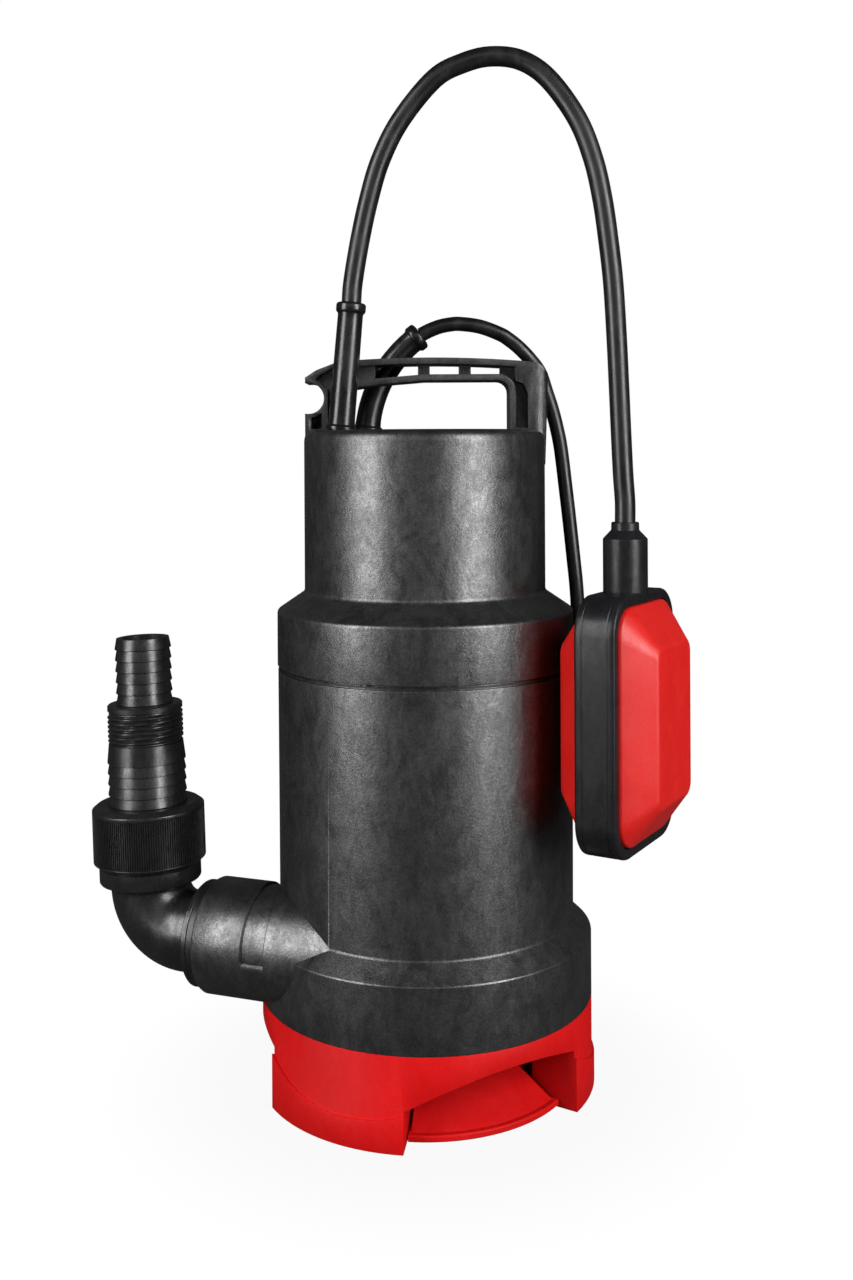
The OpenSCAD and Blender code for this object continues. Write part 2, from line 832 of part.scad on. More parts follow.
slot_in = 31;
slot_out = 40;
slot_w = 4;

module stator_slot_row(z, h, shrink = 0) {
    for (i = [0 : stator_slots - 1])
        rotate([0, 0, 360 / stator_slots * i])
            translate([slot_in + shrink, -slot_w / 2 + shrink, z])
                cube([slot_out - slot_in - 2 * shrink, slot_w - 2 * shrink, h]);
}

module stator_core() color(iron) difference() {
    ring(rotor_r + air_gap, stator_r, core_z, core_h);
    stator_slot_row(core_z - over, core_h + 2 * over);
}

module stator_winding() color(copper) {
    end_h = 9;
    stator_slot_row(core_z, core_h, 0.1);
    for (z = [core_z - end_h, core_z + core_h])
        ring(slot_in - 1.5, slot_out + 3, z, end_h);
}

module motor_shaft() color(steel) {
    thread_z0 = 55;
    rotate_extrude() polygon([
        [0, thread_z0], [3.5, thread_z0], [4, thread_z0 + 0.5], [4, 66], [5, 66], [5, chamber_top - 2],
        [shaft_r, chamber_top - 2], [shaft_r, lower_bearing_z + bearing_w],
        [shaft_r - 0.5, lower_bearing_z + bearing_w],
        [shaft_r - 0.5, lower_bearing_z + bearing_w + 1.2],
        [shaft_r, lower_bearing_z + bearing_w + 1.2], [shaft_r, can_top - 0.5],
        [shaft_r - 0.5, can_top], [0, can_top]
    ]);
}

module rotor_core() color(iron) ring(shaft_r, rotor_r, core_z, core_h);

module rotor_end_rings() color(steel) {
    end_h = 5;
    for (z = [core_z - end_h, core_z + core_h]) ring(12, rotor_r - 1, z, end_h);
}

// ---------------------------------------------------------------- impeller

impeller_z = 66;
disc_z = 82;

module impeller() color(black) {
    hub_r = 9;
    disc_t = chamber_top - 2 - disc_z;
    vane_t = 3;
    vane_r = 34;
    difference() {
        union() {
            translate([0, 0, disc_z]) cylinder(r = impeller_r, h = disc_t);
            translate([0, 0, impeller_z]) cylinder(r = hub_r, h = disc_z - impeller_z + over);
            intersection() {
                for (i = [0 : vane_count - 1])
                    rotate([0, 0, 360 / vane_count * i])
                        translate([vane_r / 2 + 3, -vane_r * 0.86, impeller_z])
                            ring_slice(vane_r, vane_t, disc_z - impeller_z + over);
                ring(hub_r - over, impeller_r, impeller_z, disc_z - impeller_z + over);
            }
        }
        translate([0, 0, impeller_z - over]) cylinder(r = 5, h = 40);
    }
}

// The upper half of a thin ring, seen along its axis
module ring_slice(r, t, h) {
    linear_extrude(h) difference() {
        circle(r = r + t / 2);
        circle(r = r - t / 2);
        translate([-2 * r, -2 * r]) square([4 * r, 2 * r]);
    }
}

module impeller_fixings() color(steel) {
    washer_t = 1.4;
    nut_h = 6;
    ring(4, 8.5, impeller_z - washer_t, washer_t);
    difference() {
        translate([0, 0, impeller_z - washer_t - nut_h]) cylinder(r = 7.5, h = nut_h, $fn = 6);
        translate([0, 0, impeller_z - washer_t - nut_h - over]) cylinder(r = 4, h = nut_h + 2 * over);
    }
}

// ---------------------------------------------------------------- electrical parts in the cap

deck_z = bracket_top;
capacitor_at = [22, 18];
capacitor_r = 16;

module capacitor() color(white) translate([capacitor_at[0], capacitor_at[1], deck_z]) {
    rotate_extrude() polygon([
        [0, 0], [capacitor_r, 0], [capacitor_r, 62], [capacitor_r - 1.5, 64], [0, 64]
    ]);
    for (x = [-5, 5]) translate([x - 0.4, -3, 64]) cube([0.8, 6, 7]);
}

module capacitor_clamp() color(steel) translate([capacitor_at[0], capacitor_at[1], deck_z]) {
    ring(capacitor_r, capacitor_r + 1, 20, 10);
    translate([capacitor_r + 0.5, -5, 0]) cube([1, 10, 30]);
    translate([capacitor_r + 1, -5, 0]) cube([8, 10, 1]);
}

block_x = -26;
block_y = -32;
block_z = deck_z;
terminal_x = 6;
terminal_y = 7.5;
terminal_step = 10.6;

module terminal_block() color(white) translate([block_x, block_y, block_z]) difference() {
    cube([44, 2 * terminal_y, 17]);
    for (i = [0 : 3])
        translate([terminal_x + terminal_step * i, terminal_y, 12]) cylinder(r = 2.6, h = 8);
}

module thermal_switch() color(black) {
    translate([-46 + 3, -5, core_z + core_h + 9]) cube([12, 10, 1.9]);
}

// Four cores: each leaves its sleeve, slopes over to its terminal and drops into it
module inner_wires() color(black) {
    wire_d = 2.4;
    start_z = cap_top - wall - 4.6;
    bend_z = block_z + 28;
    for (i = [0 : 3]) {
        g = i < 2 ? float_gland : mains_gland;
        start = [g[0] + 4 * (i % 2), g[1] - 2, start_z];
        above = [block_x + terminal_x + terminal_step * i, block_y + terminal_y, bend_z];
        end = [above[0], above[1], block_z + 13];
        tube([start, start + (above - start) * 0.8, above + [0, 0, -4], end], wire_d / 2, 8, [0, 1, 0]);
    }
}

// ---------------------------------------------------------------- cable sleeves

sleeve_r = 6.2;
lip_h = 5;
// How far the lip stands out past the sleeve's bend
lip_reach = 1.2;

// The tail of a sleeve inside the cap and the flange under the cap's top
module sleeve_foot() {
    foot_h = 3;
    translate([0, 0, cap_top - wall - foot_h]) {
        cylinder(r = sleeve_r + 0.2, h = foot_h + wall + 0.2);
        cylinder(r = sleeve_r + 2.5, h = foot_h);
    }
}

// The thicker lip at the end of a sleeve
module sleeve_lip() rotate_extrude()
    polygon([[0, 0], [6.6, 0], [7.2, 0.6], [7.2, 4], [6.4, 5], [0, 5]]);

module float_cable_sleeve() color(black) translate([float_gland[0], float_gland[1], 0]) {
    sleeve_foot();
    lean = 5;
    length = 61;
    translate([0, 0, cap_top]) rotate([0, lean, 0]) {
        cylinder(r = sleeve_r, h = length - 1);
        translate([0, 0, length - lip_h]) sleeve_lip();
    }
}

module mains_cable_sleeve() color(black) translate([mains_gland[0], mains_gland[1], 0]) {
    sleeve_foot();
    bend_r = 64;
    lean = 3.6;
    bend = 50.4;
    translate([0, 0, cap_top]) rotate([0, lean, 0]) translate([bend_r, 0, 0]) {
        rotate([90, 0, 0]) rotate([0, 0, 180 - bend]) rotate_extrude(angle = bend)
            translate([bend_r, 0]) circle(r = sleeve_r, $fn = 32);
        rotate([0, bend, 0]) translate([-bend_r, 0, lip_reach - lip_h]) sleeve_lip();
    }
}

// ---------------------------------------------------------------- outlet elbow and connector

module at_connector() {
    at_mouth() translate(bend_end) rotate([0, elbow_lean, 0]) children();
}

flange_start = 3.8;
flange_end = 6.6;

module outlet_ring() color(black) at_mouth() rotate([0, 90, 0]) rotate_extrude()
    polygon([
        [19.6, 0], [24.4, 0], [25, 0.5], [25, flange_start - 0.5], [24.4, flange_start],
        [19.6, flange_start]
    ]);

// The bend of the elbow, at radius r
module elbow_bend(r) {
    at_mouth() translate([bend_start, 0, elbow_bend_r]) rotate([90, 0, 0])
        rotate([0, 0, -90]) rotate_extrude(angle = bend_angle)
            translate([elbow_bend_r, 0]) circle(r = r);
}

module outlet_elbow() color(black) {
    bore_r = 14.5;
    spigot_r = 18.7;
    collar_r = 24.6;
    thread_r = 21.4;
    step = 0.1;
    lap = 0.4;
    difference() {
        union() {
            at_mouth() rotate([0, 90, 0]) {
                translate([0, 0, -16]) cylinder(r = spigot_r, h = 20);
                translate([0, 0, flange_start]) cylinder(r = 24.8, h = flange_end - flange_start);
                translate([0, 0, flange_start])
                    cylinder(r = elbow_r + step, h = bend_start - flange_start + lap);
            }
            elbow_bend(elbow_r);
            at_connector() rotate_extrude() polygon([
                [0, -lap], [elbow_r + step, -lap], [elbow_r + 2, 0.2], [collar_r, 2.6],
                [collar_r, nut_z - gap], [thread_r, nut_z - gap], [thread_r, spigot_top],
                [0, spigot_top]
            ]);
        }
        at_mouth() rotate([0, 90, 0])
            translate([0, 0, -17]) cylinder(r = bore_r + step, h = 17 + bend_start + lap);
        elbow_bend(bore_r);
        at_connector() translate([0, 0, -lap]) cylinder(r = bore_r + step, h = spigot_top + 2 * over);
    }
}

module connector_seal() color(black) at_connector() ring(14.5, 20.8, spigot_top, seal_t);

flange_z0 = spigot_top + seal_t;
flange_h = 4;

module union_nut() color(black) at_connector() {
    chamfer = 2;
    skin_r = nut_r - 0.7;
    ribs_low = nut_z + 3;
    ribs_high = nut_top - 3;
    difference() {
        union() {
            rotate_extrude() polygon([
                [0, nut_z], [skin_r - chamfer, nut_z], [skin_r, nut_z + chamfer],
                [skin_r, nut_top - chamfer], [skin_r - chamfer, nut_top], [0, nut_top]
            ]);
            translate([0, 0, ribs_low]) linear_extrude(ribs_high - ribs_low)
                for (i = [0 : nut_ribs - 1])
                    rotate(360 / nut_ribs * i)
                        polygon([[skin_r - 0.5, -0.7], [nut_r, -0.35], [nut_r, 0.35], [skin_r - 0.5, 0.7]]);
        }
        translate([0, 0, nut_z - over]) cylinder(r = 22, h = flange_z0 + flange_h + gap - nut_z + over);
        translate([0, 0, nut_z]) cylinder(r = 18.6, h = nut_top);
    }
}

// One barb of height h with its crest at the bottom, as points down the outside
function barb(z, h, r) = [[r - barb_depth, z + h], [r - 0.1, z + 0.5], [r, z]];

module hose_connector() color(black) at_connector() {
    neck_r = 18.2;
    barbs_z = nut_top + first_barb_h;
    top_barb_z = barbs_z + large_barb_h * (large_barb_count - 1);
    small_h = (connector_top - small_barb_z) / small_barb_count;
    thread_turns = floor((small_barb_z - thread_z - 2) / thread_pitch);
    root_r = thread_r - 1.2;
    difference() {
        rotate_extrude() polygon(concat(
            [[connector_bore_r, connector_top]],
            [
                for (i = [small_barb_count - 1 : -1 : 0])
                    each barb(small_barb_z + small_h * i, small_h, small_barb_r)
            ],
            [[small_barb_r, small_barb_z], [root_r, small_barb_z]],
            [
                for (i = [thread_turns - 1 : -1 : 0])
                    let (z = thread_z + 1 + thread_pitch * i)
                        each [[root_r, z + thread_pitch], [thread_r, z + thread_pitch * 0.55],
                              [thread_r, z + thread_pitch * 0.45], [root_r, z]]
            ],
            [[root_r, thread_z + 0.2]],
            barb(top_barb_z, thread_z - top_barb_z, large_barb_r),
            [
                for (i = [large_barb_count - 2 : -1 : 0])
                    each barb(barbs_z + large_barb_h * i, large_barb_h, large_barb_r)
            ],
            barb(nut_top, first_barb_h, large_barb_r),
            [[neck_r, nut_top], [neck_r, flange_z0 + flange_h], [21, flange_z0 + flange_h]],
            [[21, flange_z0], [connector_bore_r, flange_z0]]
        ));
        translate([0, 0, flange_z0 - over]) cylinder(r = 14.5, h = 36);
    }
}

// ---------------------------------------------------------------- float switch

// Places things in the frame of the float: +X out of its front face, +Z up, middle at the origin
module at_float() {
    translate([float_x, float_y, float_mid]) rotate([0, 0, float_turn]) children();
}

// A plate standing on edge across X, w wide, h high, with its corners rounded
module standing_plate(x, t, w, h, r) {
    translate([x, 0, 0]) rotate([90, 0, 90]) linear_extrude(t) rounded_rect(w, h, r);
}

module float_band() color(black) {
    corner = 17;
    room_w = float_w - 2 * float_wall;
    room_h = float_h - 2 * float_wall;
    neck_z = float_h / 2;
    at_float() difference() {
        union() {
            standing_plate(-band_t / 2, band_t, float_w, float_h, corner);
            translate([0, 0, neck_z - 3]) cylinder(r = neck_r, h = neck_top - 4 - float_mid - neck_z + 3);
            translate([0, 0, neck_top - 4 - float_mid])
                cylinder(r1 = neck_r, r2 = 6.4, h = 4);
            translate([0, 0, neck_top - float_mid]) cylinder(r = 6.3, h = collar_h);
        }
        standing_plate(-band_t / 2 - over, band_t + 2 * over, room_w, room_h, corner - 6);
        for (side = [-1, 1])
            standing_plate(side * (band_t / 2 - seat_d / 2) - (seat_d + over) / 2 + side * over / 2,
                           seat_d + over, float_w - 2 * border + 0.4, float_h - 2 * border + 0.4,
                           border_r + 0.2);
    }
}

// A shell drawn in by inset, with its border at x0
module shell_solid(inset, x0) {
    flat_w = 40.4;
    flat_h = 70;
    hull() {
        standing_plate(x0, 1, float_w - 2 * (border + inset), float_h - 2 * (border + inset),
                       border_r - inset);
        standing_plate(band_t / 2 + shell_d - 1 - inset, 1, flat_w - inset, flat_h - inset, 5);
    }
}

module float_shells() color(red) {
    shell_t = 2.4;
    for (side = [0, 1])
        at_float() mirror([side, 0, 0]) difference() {
            shell_solid(0, band_t / 2 - seat_d);
            shell_solid(shell_t, band_t / 2 - seat_d - over);
        }
}

channel_r = 7.3;
channel_low = -46;
channel_high = 0.5;
ball_rest = channel_low + 2 + ball_r;
lever_pivot = [0, -12, 6];
pin_r = 1.1;
pin_reach = 7.4;
button_y = 4;
button_r = 1.5;

// Case with the ball channel below and the micro switch above
module switch_case() color(white) at_float() difference() {
    room_x = 5.6;
    room_y = 13.5;
    room_h = 12;
    case_x = 8.6;
    wing_y = float_w / 2 - float_wall;
    button_bore_top = 17;
    union() {
        translate([-case_x, -15, channel_high]) cube([2 * case_x, 30, 34]);
        translate([0, 0, channel_low])
            cylinder(r = channel_r + 1.3, h = channel_high - channel_low + over);
        for (z = [-30, 28]) translate([-4, -wing_y, z]) cube([8, 2 * wing_y, 2.5]);
    }
    translate([0, 0, channel_low + 2]) cylinder(r = channel_r, h = channel_high - channel_low);
    translate([-room_x, -room_y, channel_high - over]) cube([2 * room_x, 2 * room_y, room_h]);
    translate([0, button_y, channel_high]) cylinder(r = button_r + 0.05, h = button_bore_top);
    translate(lever_pivot) rotate([0, 90, 0]) translate([0, 0, -pin_reach - gap])
        cylinder(r = pin_r + 0.05, h = 2 * (pin_reach + gap));
}

module switch_lever() color(steel) at_float() {
    translate([-5, -12, lever_pivot[2] - 0.5]) cube([10, 19, 1]);
    translate(lever_pivot) rotate([0, 90, 0]) translate([0, 0, -pin_reach])
        cylinder(r = pin_r, h = 2 * pin_reach);
}

module switch_button() color(red) at_float() {
    translate([0, button_y, lever_pivot[2] + 0.7]) cylinder(r = button_r, h = 8);
}

module switch_ball() color(steel) at_float() {
    translate([0, 0, ball_rest]) sphere(r = ball_r, $fn = 48);
}

// ---------------------------------------------------------------- cables

module float_cable() color(black) tube(float_cable_route, float_cable_d / 2, 10, [0, 1, 0]);
module mains_cable() color(black) tube(mains_cable_route, mains_cable_d / 2, 10, [0, 1, 0]);
module mains_cable_end() color(black) tube(mains_end_route, mains_cable_d / 2, 10, [1, 0, 0]);

// The coil winds in and out in five layers. Each layer but the last ends in half a turn in which
// the radius stands still and the cable climbs to the next one.
coil_steps = 24;
coil_layers = 5;
climb_turns = 0.5;
layer_turns = (coil_turns - (coil_layers - 1) * climb_turns) / coil_layers;
stage_turns = layer_turns + climb_turns;
coil_in_r = coil_out_r - layer_turns * coil_pitch;

// Radius and height after t turns
function coil_r(t) =
    let (k = floor(t / stage_turns), f = min(1, (t - k * stage_turns) / layer_turns))
        k % 2 == 0 ? coil_out_r - f * (coil_out_r - coil_in_r)
        : coil_in_r + f * (coil_out_r - coil_in_r);
function coil_z(t) =
    let (k = floor(t / stage_turns), f = max(0, (t - k * stage_turns - layer_turns) / climb_turns))
        mains_cable_d / 2 + (k + f) * coil_pitch;
function coil_point(t) = [
    coil_x + coil_r(t) * cos(360 * t), coil_y + coil_r(t) * sin(360 * t), coil_z(t)
];

coil_count = round(coil_turns * coil_steps);
coil_rings = [for (i = [0 : coil_count]) coil_point(min(i / coil_steps, coil_turns - 0.001))];
end_way = [-sin(360 * coil_turns), cos(360 * coil_turns), 0];
coil_path = concat(
    [coil_rings[0] - mains_cable_d * [0, 1, 0]],
    coil_rings,
    [coil_rings[coil_count] + mains_cable_d * end_way]
);

// Least distance between the surfaces of turns that lie side by side or on each other
coil_gap = min([
    for (i = [0 : coil_count - coil_steps / 2], j = [i + coil_steps / 2 : coil_count])
        norm(coil_rings[i] - coil_rings[j]) - mains_cable_d
]);

function path_length(p) = len(p) < 2 ? 0
    : norm([for (i = [0 : len(p) - 2]) sqrt(norm(p[i + 1] - p[i]))]) ^ 2;

module mains_coil() color(black) {
    echo(coil_gap = coil_gap, coil_length = path_length(coil_path),
         mains_total = path_length(coil_path) + path_length(mains_cable_route)
             + path_length(mains_end_route),
         float_length = path_length(float_cable_route));
    tube(coil_path, mains_cable_d / 2, 6, [1, 0, 0]);
}

// ---------------------------------------------------------------- mains plug

// Places things in the frame of the plug: +Z out of its pin face, the origin where the cable enters
module at_plug() {
    translate(mains_end_route[len(mains_end_route) - 1])
        rotate([0, -90, 0]) children();
}

plug_sleeve_l = 28;
plug_body_l = 36;

module plug_sleeve() color(black) at_plug() {
    cylinder(r1 = mains_cable_d / 2 + 1.2, r2 = 7.5, h = plug_sleeve_l);
}

module plug_body() color(black) at_plug() translate([0, 0, plug_sleeve_l]) rotate_extrude()
    polygon([
        [0, 0], [8.5, 0], [10.5, 3], [12, 9], [plug_r, 15], [plug_r, plug_body_l - 1],
        [plug_r - 1, plug_body_l], [0, plug_body_l]
    ]);

module plug_pins() color(steel) at_plug() for (y = [-9.5, 9.5])
    translate([0, y, plug_sleeve_l + plug_body_l]) rotate_extrude()
        polygon([[0, 0], [2.4, 0], [2.4, 18], [1.6, 19], [0, 19]]);

// ---------------------------------------------------------------- drawing

intake_base();
floor_plate();
plate_screws();
suction_cover();
cover_seal();
pump_housing();
housing_gasket();
motor_cap();
carry_handle();
tie_screws();
seal_seat();
seal_face();
seal_spring();
seal_collar();
oil_chamber_cover();
lip_seal();
lower_bracket();
lower_bearing_outer();
lower_bearing_inner();
lower_bearing_balls();
shaft_ring();
motor_can();
stator_core();
stator_winding();
upper_bracket();
upper_bearing_outer();
upper_bearing_inner();
upper_bearing_balls();
preload_washer();
motor_bolts();
motor_shaft();
rotor_core();
rotor_end_rings();
impeller();
impeller_fixings();
capacitor();
capacitor_clamp();
terminal_block();
thermal_switch();
inner_wires();
float_cable_sleeve();
mains_cable_sleeve();
outlet_ring();
outlet_elbow();
connector_seal();
union_nut();
hose_connector();
float_band();
float_shells();
switch_case();
switch_lever();
switch_button();
switch_ball();
float_cable();
mains_cable();
mains_coil();
mains_cable_end();
plug_sleeve();
plug_body();
plug_pins();
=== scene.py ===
"""Looks of a submersible sump pump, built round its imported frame.

Sizes are millimetres in the code and become metres in the meshes. +Z is up the motor shaft and
-Y is the front. Each piece is made by its own function and rides on the CAD body that carries it.
"""
import math

import bmesh
import bpy
from mathutils import Matrix, Vector


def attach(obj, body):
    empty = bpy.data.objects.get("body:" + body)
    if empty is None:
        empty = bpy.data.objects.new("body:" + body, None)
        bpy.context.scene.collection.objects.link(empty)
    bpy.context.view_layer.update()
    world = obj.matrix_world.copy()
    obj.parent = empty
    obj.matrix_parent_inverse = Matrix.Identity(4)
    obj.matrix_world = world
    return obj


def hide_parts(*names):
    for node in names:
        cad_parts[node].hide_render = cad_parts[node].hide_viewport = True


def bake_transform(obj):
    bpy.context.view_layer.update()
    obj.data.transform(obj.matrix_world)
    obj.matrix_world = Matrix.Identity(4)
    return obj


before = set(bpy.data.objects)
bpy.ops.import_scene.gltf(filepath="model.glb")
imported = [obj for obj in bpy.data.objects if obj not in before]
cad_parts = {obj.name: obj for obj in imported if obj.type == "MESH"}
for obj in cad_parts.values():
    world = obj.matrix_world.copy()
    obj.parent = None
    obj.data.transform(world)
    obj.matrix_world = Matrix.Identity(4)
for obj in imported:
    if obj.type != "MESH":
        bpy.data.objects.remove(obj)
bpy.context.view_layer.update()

MM = 0.001

# Driving sizes, as in the part
OUTLET_TURN = 160
OUTLET_Z = 70.2
OUTLET_OFFSET = 43
OUTLET_LENGTH = 92
OUTLET_R = 27
OUTLET_BORE_R = 18.9
BODY_R = 71.8
BODY_TOP = 198.8
GASKET_T = 0.8
BASE_R = 80
BASE_H = 42
CHAMBER_R = 60.5
CHAMBER_TOP = 88
WALL = 3.5
CAP_R = 58.8
CAP_TOP = 313.5
RING_R = 72.1
RING_TOP = 226.5
SHOULDER_TOP = 235.5
TIE_R = 66.5
TIE_TURN = -112
ELBOW_R = 19.2
ELBOW_BORE_R = 14.5
BEND_START = 15
BEND_R = 22
BEND_ANGLE = 88
SEAL_RING_W = 3.75
SPIGOT_TOP = 25.4
NUT_R = 27.2
NUT_Z = 10.2
NUT_TOP = 39.7
THREAD_Z = 69.5
SMALL_BARB_Z = 88.4
CONNECTOR_TOP = 120.7
FLOAT_AT = (91.6, -45, 181.0)
FLOAT_TURN = -30.5
FLOAT_W = 74
FLOAT_H = 116
FLOAT_WALL = 8
FLOAT_BORDER = 5
BAND_T = 19.4
SHELL_D = 14
FLOAT_GLAND = (-39.7, -19.5)
MAINS_GLAND = (-28.7, 20)
FLOAT_CABLE_D = 9.4
MAINS_CABLE_D = 7.3


# ---------------------------------------------------------------- mesh helpers

def rz(degrees):
    return Matrix.Rotation(math.radians(degrees), 4, "Z")


def ry(degrees):
    return Matrix.Rotation(math.radians(degrees), 4, "Y")


def move(x, y, z):
    return Matrix.Translation((x, y, z))


def new_object(name, verts, faces, material, place=Matrix(), smooth_angle=35):
    """A mesh object from millimetre points, moved by place, with its place in its mesh."""
    mesh = bpy.data.meshes.new(name)
    mesh.from_pydata([(place @ Vector(v)) * MM for v in verts], [], faces)
    bm = bmesh.new()
    bm.from_mesh(mesh)
    bmesh.ops.remove_doubles(bm, verts=bm.verts, dist=1e-6)
    bmesh.ops.recalc_face_normals(bm, faces=bm.faces)
    bm.to_mesh(mesh)
    bm.free()
    obj = bpy.data.objects.new(name, mesh)
    bpy.context.scene.collection.objects.link(obj)
    finish_mesh(obj, material, smooth_angle)
    return obj


def finish_mesh(obj, material, smooth_angle=35):
    """Smooth faces with sharp edges over smooth_angle, and one material."""
    obj.data.materials.clear()
    obj.data.materials.append(material)
    obj.data.polygons.foreach_set("use_smooth", [True] * len(obj.data.polygons))
    obj.data.polygons.foreach_set("material_index", [0] * len(obj.data.polygons))
    obj.data.set_sharp_from_angle(angle=math.radians(smooth_angle))


def rounded(points, radii, steps=4, closed=True):
    """The outline with its corners rounded: radii gives one radius for each point, 0 for sharp."""
    out = []
    count = len(points)
    for i, (x, y) in enumerate(points):
        radius = radii[i]
        at_end = not closed and i in (0, count - 1)
        if radius <= 0 or at_end:
            out.append((x, y))
            continue
        here = Vector((x, y))
        back = Vector(points[i - 1]) - here
        on = Vector(points[(i + 1) % count]) - here
        half = back.angle(on) / 2
        reach = min(radius / math.tan(half), 0.49 * back.length, 0.49 * on.length)
        start = here + back.normalized() * reach
        end = here + on.normalized() * reach
        for k in range(steps + 1):
            t = k / steps
            # A quadratic curve through the corner's two tangent points
            p = start * (1 - t) ** 2 + here * (2 * t * (1 - t)) + end * t ** 2
            out.append((p.x, p.y))
    return out


def loft(name, rings, material, place=Matrix(), loop=True, smooth_angle=35):
    """A closed surface through rings of equal length. loop joins the last ring to the first;
    otherwise the first and last rings are capped."""
    n = len(rings[0])
    verts = [p for ring in rings for p in ring]
    faces = []
    last = len(rings) if loop else len(rings) - 1
    for i in range(last):
        a, b = i * n, (i + 1) % len(rings) * n
        for k in range(n):
            m = (k + 1) % n
            faces.append((a + k, a + m, b + m, b + k))
    if not loop:
        faces.append(tuple(range(n)))
        faces.append(tuple(reversed(range((len(rings) - 1) * n, len(rings) * n))))
    return new_object(name, verts, faces, material, place, smooth_angle)


def circle_ring(r, z, steps):
    return [
        (r * math.cos(math.tau * k / steps), r * math.sin(math.tau * k / steps), z)
        for k in range(steps)
    ]


def lathe(name, profile, material, place=Matrix(), steps=128, smooth_angle=35):
    """A solid of revolution about +Z. profile is a closed outline of (radius, height) points;
    points at radius 0 become poles."""
    on_axis = {i for i, p in enumerate(profile) if p[0] < 1e-6}
    before = on_axis | {i - len(profile) for i in on_axis}
    if not on_axis:
        rings = [circle_ring(r, z, steps) for r, z in profile]
        return loft(name, rings, material, place, True, smooth_angle)
    # Start just after an axis point, so that the surface runs from pole to pole
    first = next(i for i, p in enumerate(profile) if i not in on_axis and i - 1 in before)
    turned = profile[first:] + profile[:first]
    body = [p for p in turned if p[0] >= 1e-6]
    poles = [p for p in turned if p[0] < 1e-6]
    verts = [(0, 0, poles[-1][1])]
    faces = []
    for i, (r, z) in enumerate(body):
        verts += circle_ring(r, z, steps)
        for k in range(steps):
            m = (k + 1) % steps
            a = 1 + i * steps
            if i == 0:
                faces.append((0, a + m, a + k))
            else:
                b = a - steps
                faces.append((b + k, b + m, a + m, a + k))
    verts.append((0, 0, poles[0][1]))
    a = 1 + (len(body) - 1) * steps
    faces += [(len(verts) - 1, a + k, a + (k + 1) % steps) for k in range(steps)]
    return new_object(name, verts, faces, material, place, smooth_angle)


def apply_modifiers(obj):
    """Turns the evaluated object into a plain mesh without modifiers."""
    graph = bpy.context.evaluated_depsgraph_get()
    mesh = bpy.data.meshes.new_from_object(obj.evaluated_get(graph))
    obj.modifiers.clear()
    obj.data = mesh
    return obj


def carve(obj, others, operation):
    """Joins the other solids to obj or cuts them out of it, and removes them."""
    for other in others:
        modifier = obj.modifiers.new("carve", "BOOLEAN")
        modifier.operation = operation
        modifier.solver = "MANIFOLD"
        modifier.object = other
        apply_modifiers(obj)
        bpy.data.objects.remove(other)
    return obj


def rod(r, z, h, place=Matrix(), steps=48):
    """A plain round solid to cut or join, from height z up."""
    return lathe("cutter", [(0, z), (r, z), (r, z + h), (0, z + h)], blank, place, steps)


def ride_as(obj, body, slot, *nodes):
    """obj rides on the body and stands for the CAD nodes, which it hides. slot is not used."""
    if nodes:
        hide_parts(*nodes)
    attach(obj, body)
    return obj


def softened(node, name, body, slot, material, width, steps=2, low_z=-1):
    """A copy of a CAD node with its sharp edges above low_z rounded by width, in its place."""
    sharp = math.radians(30)
    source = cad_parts[node]
    obj = bpy.data.objects.new(name, source.data.copy())
    bpy.context.scene.collection.objects.link(obj)
    bm = bmesh.new()
    bm.from_mesh(obj.data)
    bmesh.ops.remove_doubles(bm, verts=bm.verts, dist=2e-6)
    bmesh.ops.dissolve_limit(
        bm, angle_limit=math.radians(0.6), verts=bm.verts, edges=bm.edges
    )
    weights = bm.edges.layers.float.new("bevel_weight_edge")
    for edge in bm.edges:
        if edge.calc_face_angle(0) > sharp and min(v.co.z for v in edge.verts) > low_z * MM:
            edge[weights] = 1
    bm.to_mesh(obj.data)
    bm.free()
    bevel = obj.modifiers.new("edges", "BEVEL")
    bevel.width = width * MM
    bevel.segments = steps
    bevel.limit_method = "WEIGHT"
    bevel.use_clamp_overlap = True
    apply_modifiers(obj)
    finish_mesh(obj, material)
    return ride_as(obj, body, slot, node)


def smooth_path(points, per_span=6):
    """Points on a smooth curve through the given points, a Catmull-Rom spline."""
    p = [Vector(q) for q in points]
    p = [2 * p[0] - p[1]] + p + [2 * p[-1] - p[-2]]
    out = []
    for i in range(1, len(p) - 2):
        for k in range(per_span):
            t = k / per_span
            a, b, c, d = p[i - 1], p[i], p[i + 1], p[i + 2]
            out.append(0.5 * (2 * b + (c - a) * t + (2 * a - 5 * b + 4 * c - d) * t ** 2
                              + (3 * b - a - 3 * c + d) * t ** 3))
    out.append(p[-2])
    return out


def swept(name, points, radius, material, steps=24):
    """A closed round tube along points. Its section follows them without twist."""
    count = len(points)
    side = None
    rings = []
    for i, here in enumerate(points):
        on = points[min(i + 1, count - 1)] - points[max(i - 1, 0)]
        on.normalize()
        if side is None:
            side = on.orthogonal()
        side = (side - on * side.dot(on)).normalized()
        across = on.cross(side)
        rings.append([
            here + radius * (side * math.cos(math.tau * k / steps)
                             + across * math.sin(math.tau * k / steps))
            for k in range(steps)
        ])
    return loft(name, rings, material, loop=False)


# ---------------------------------------------------------------- materials

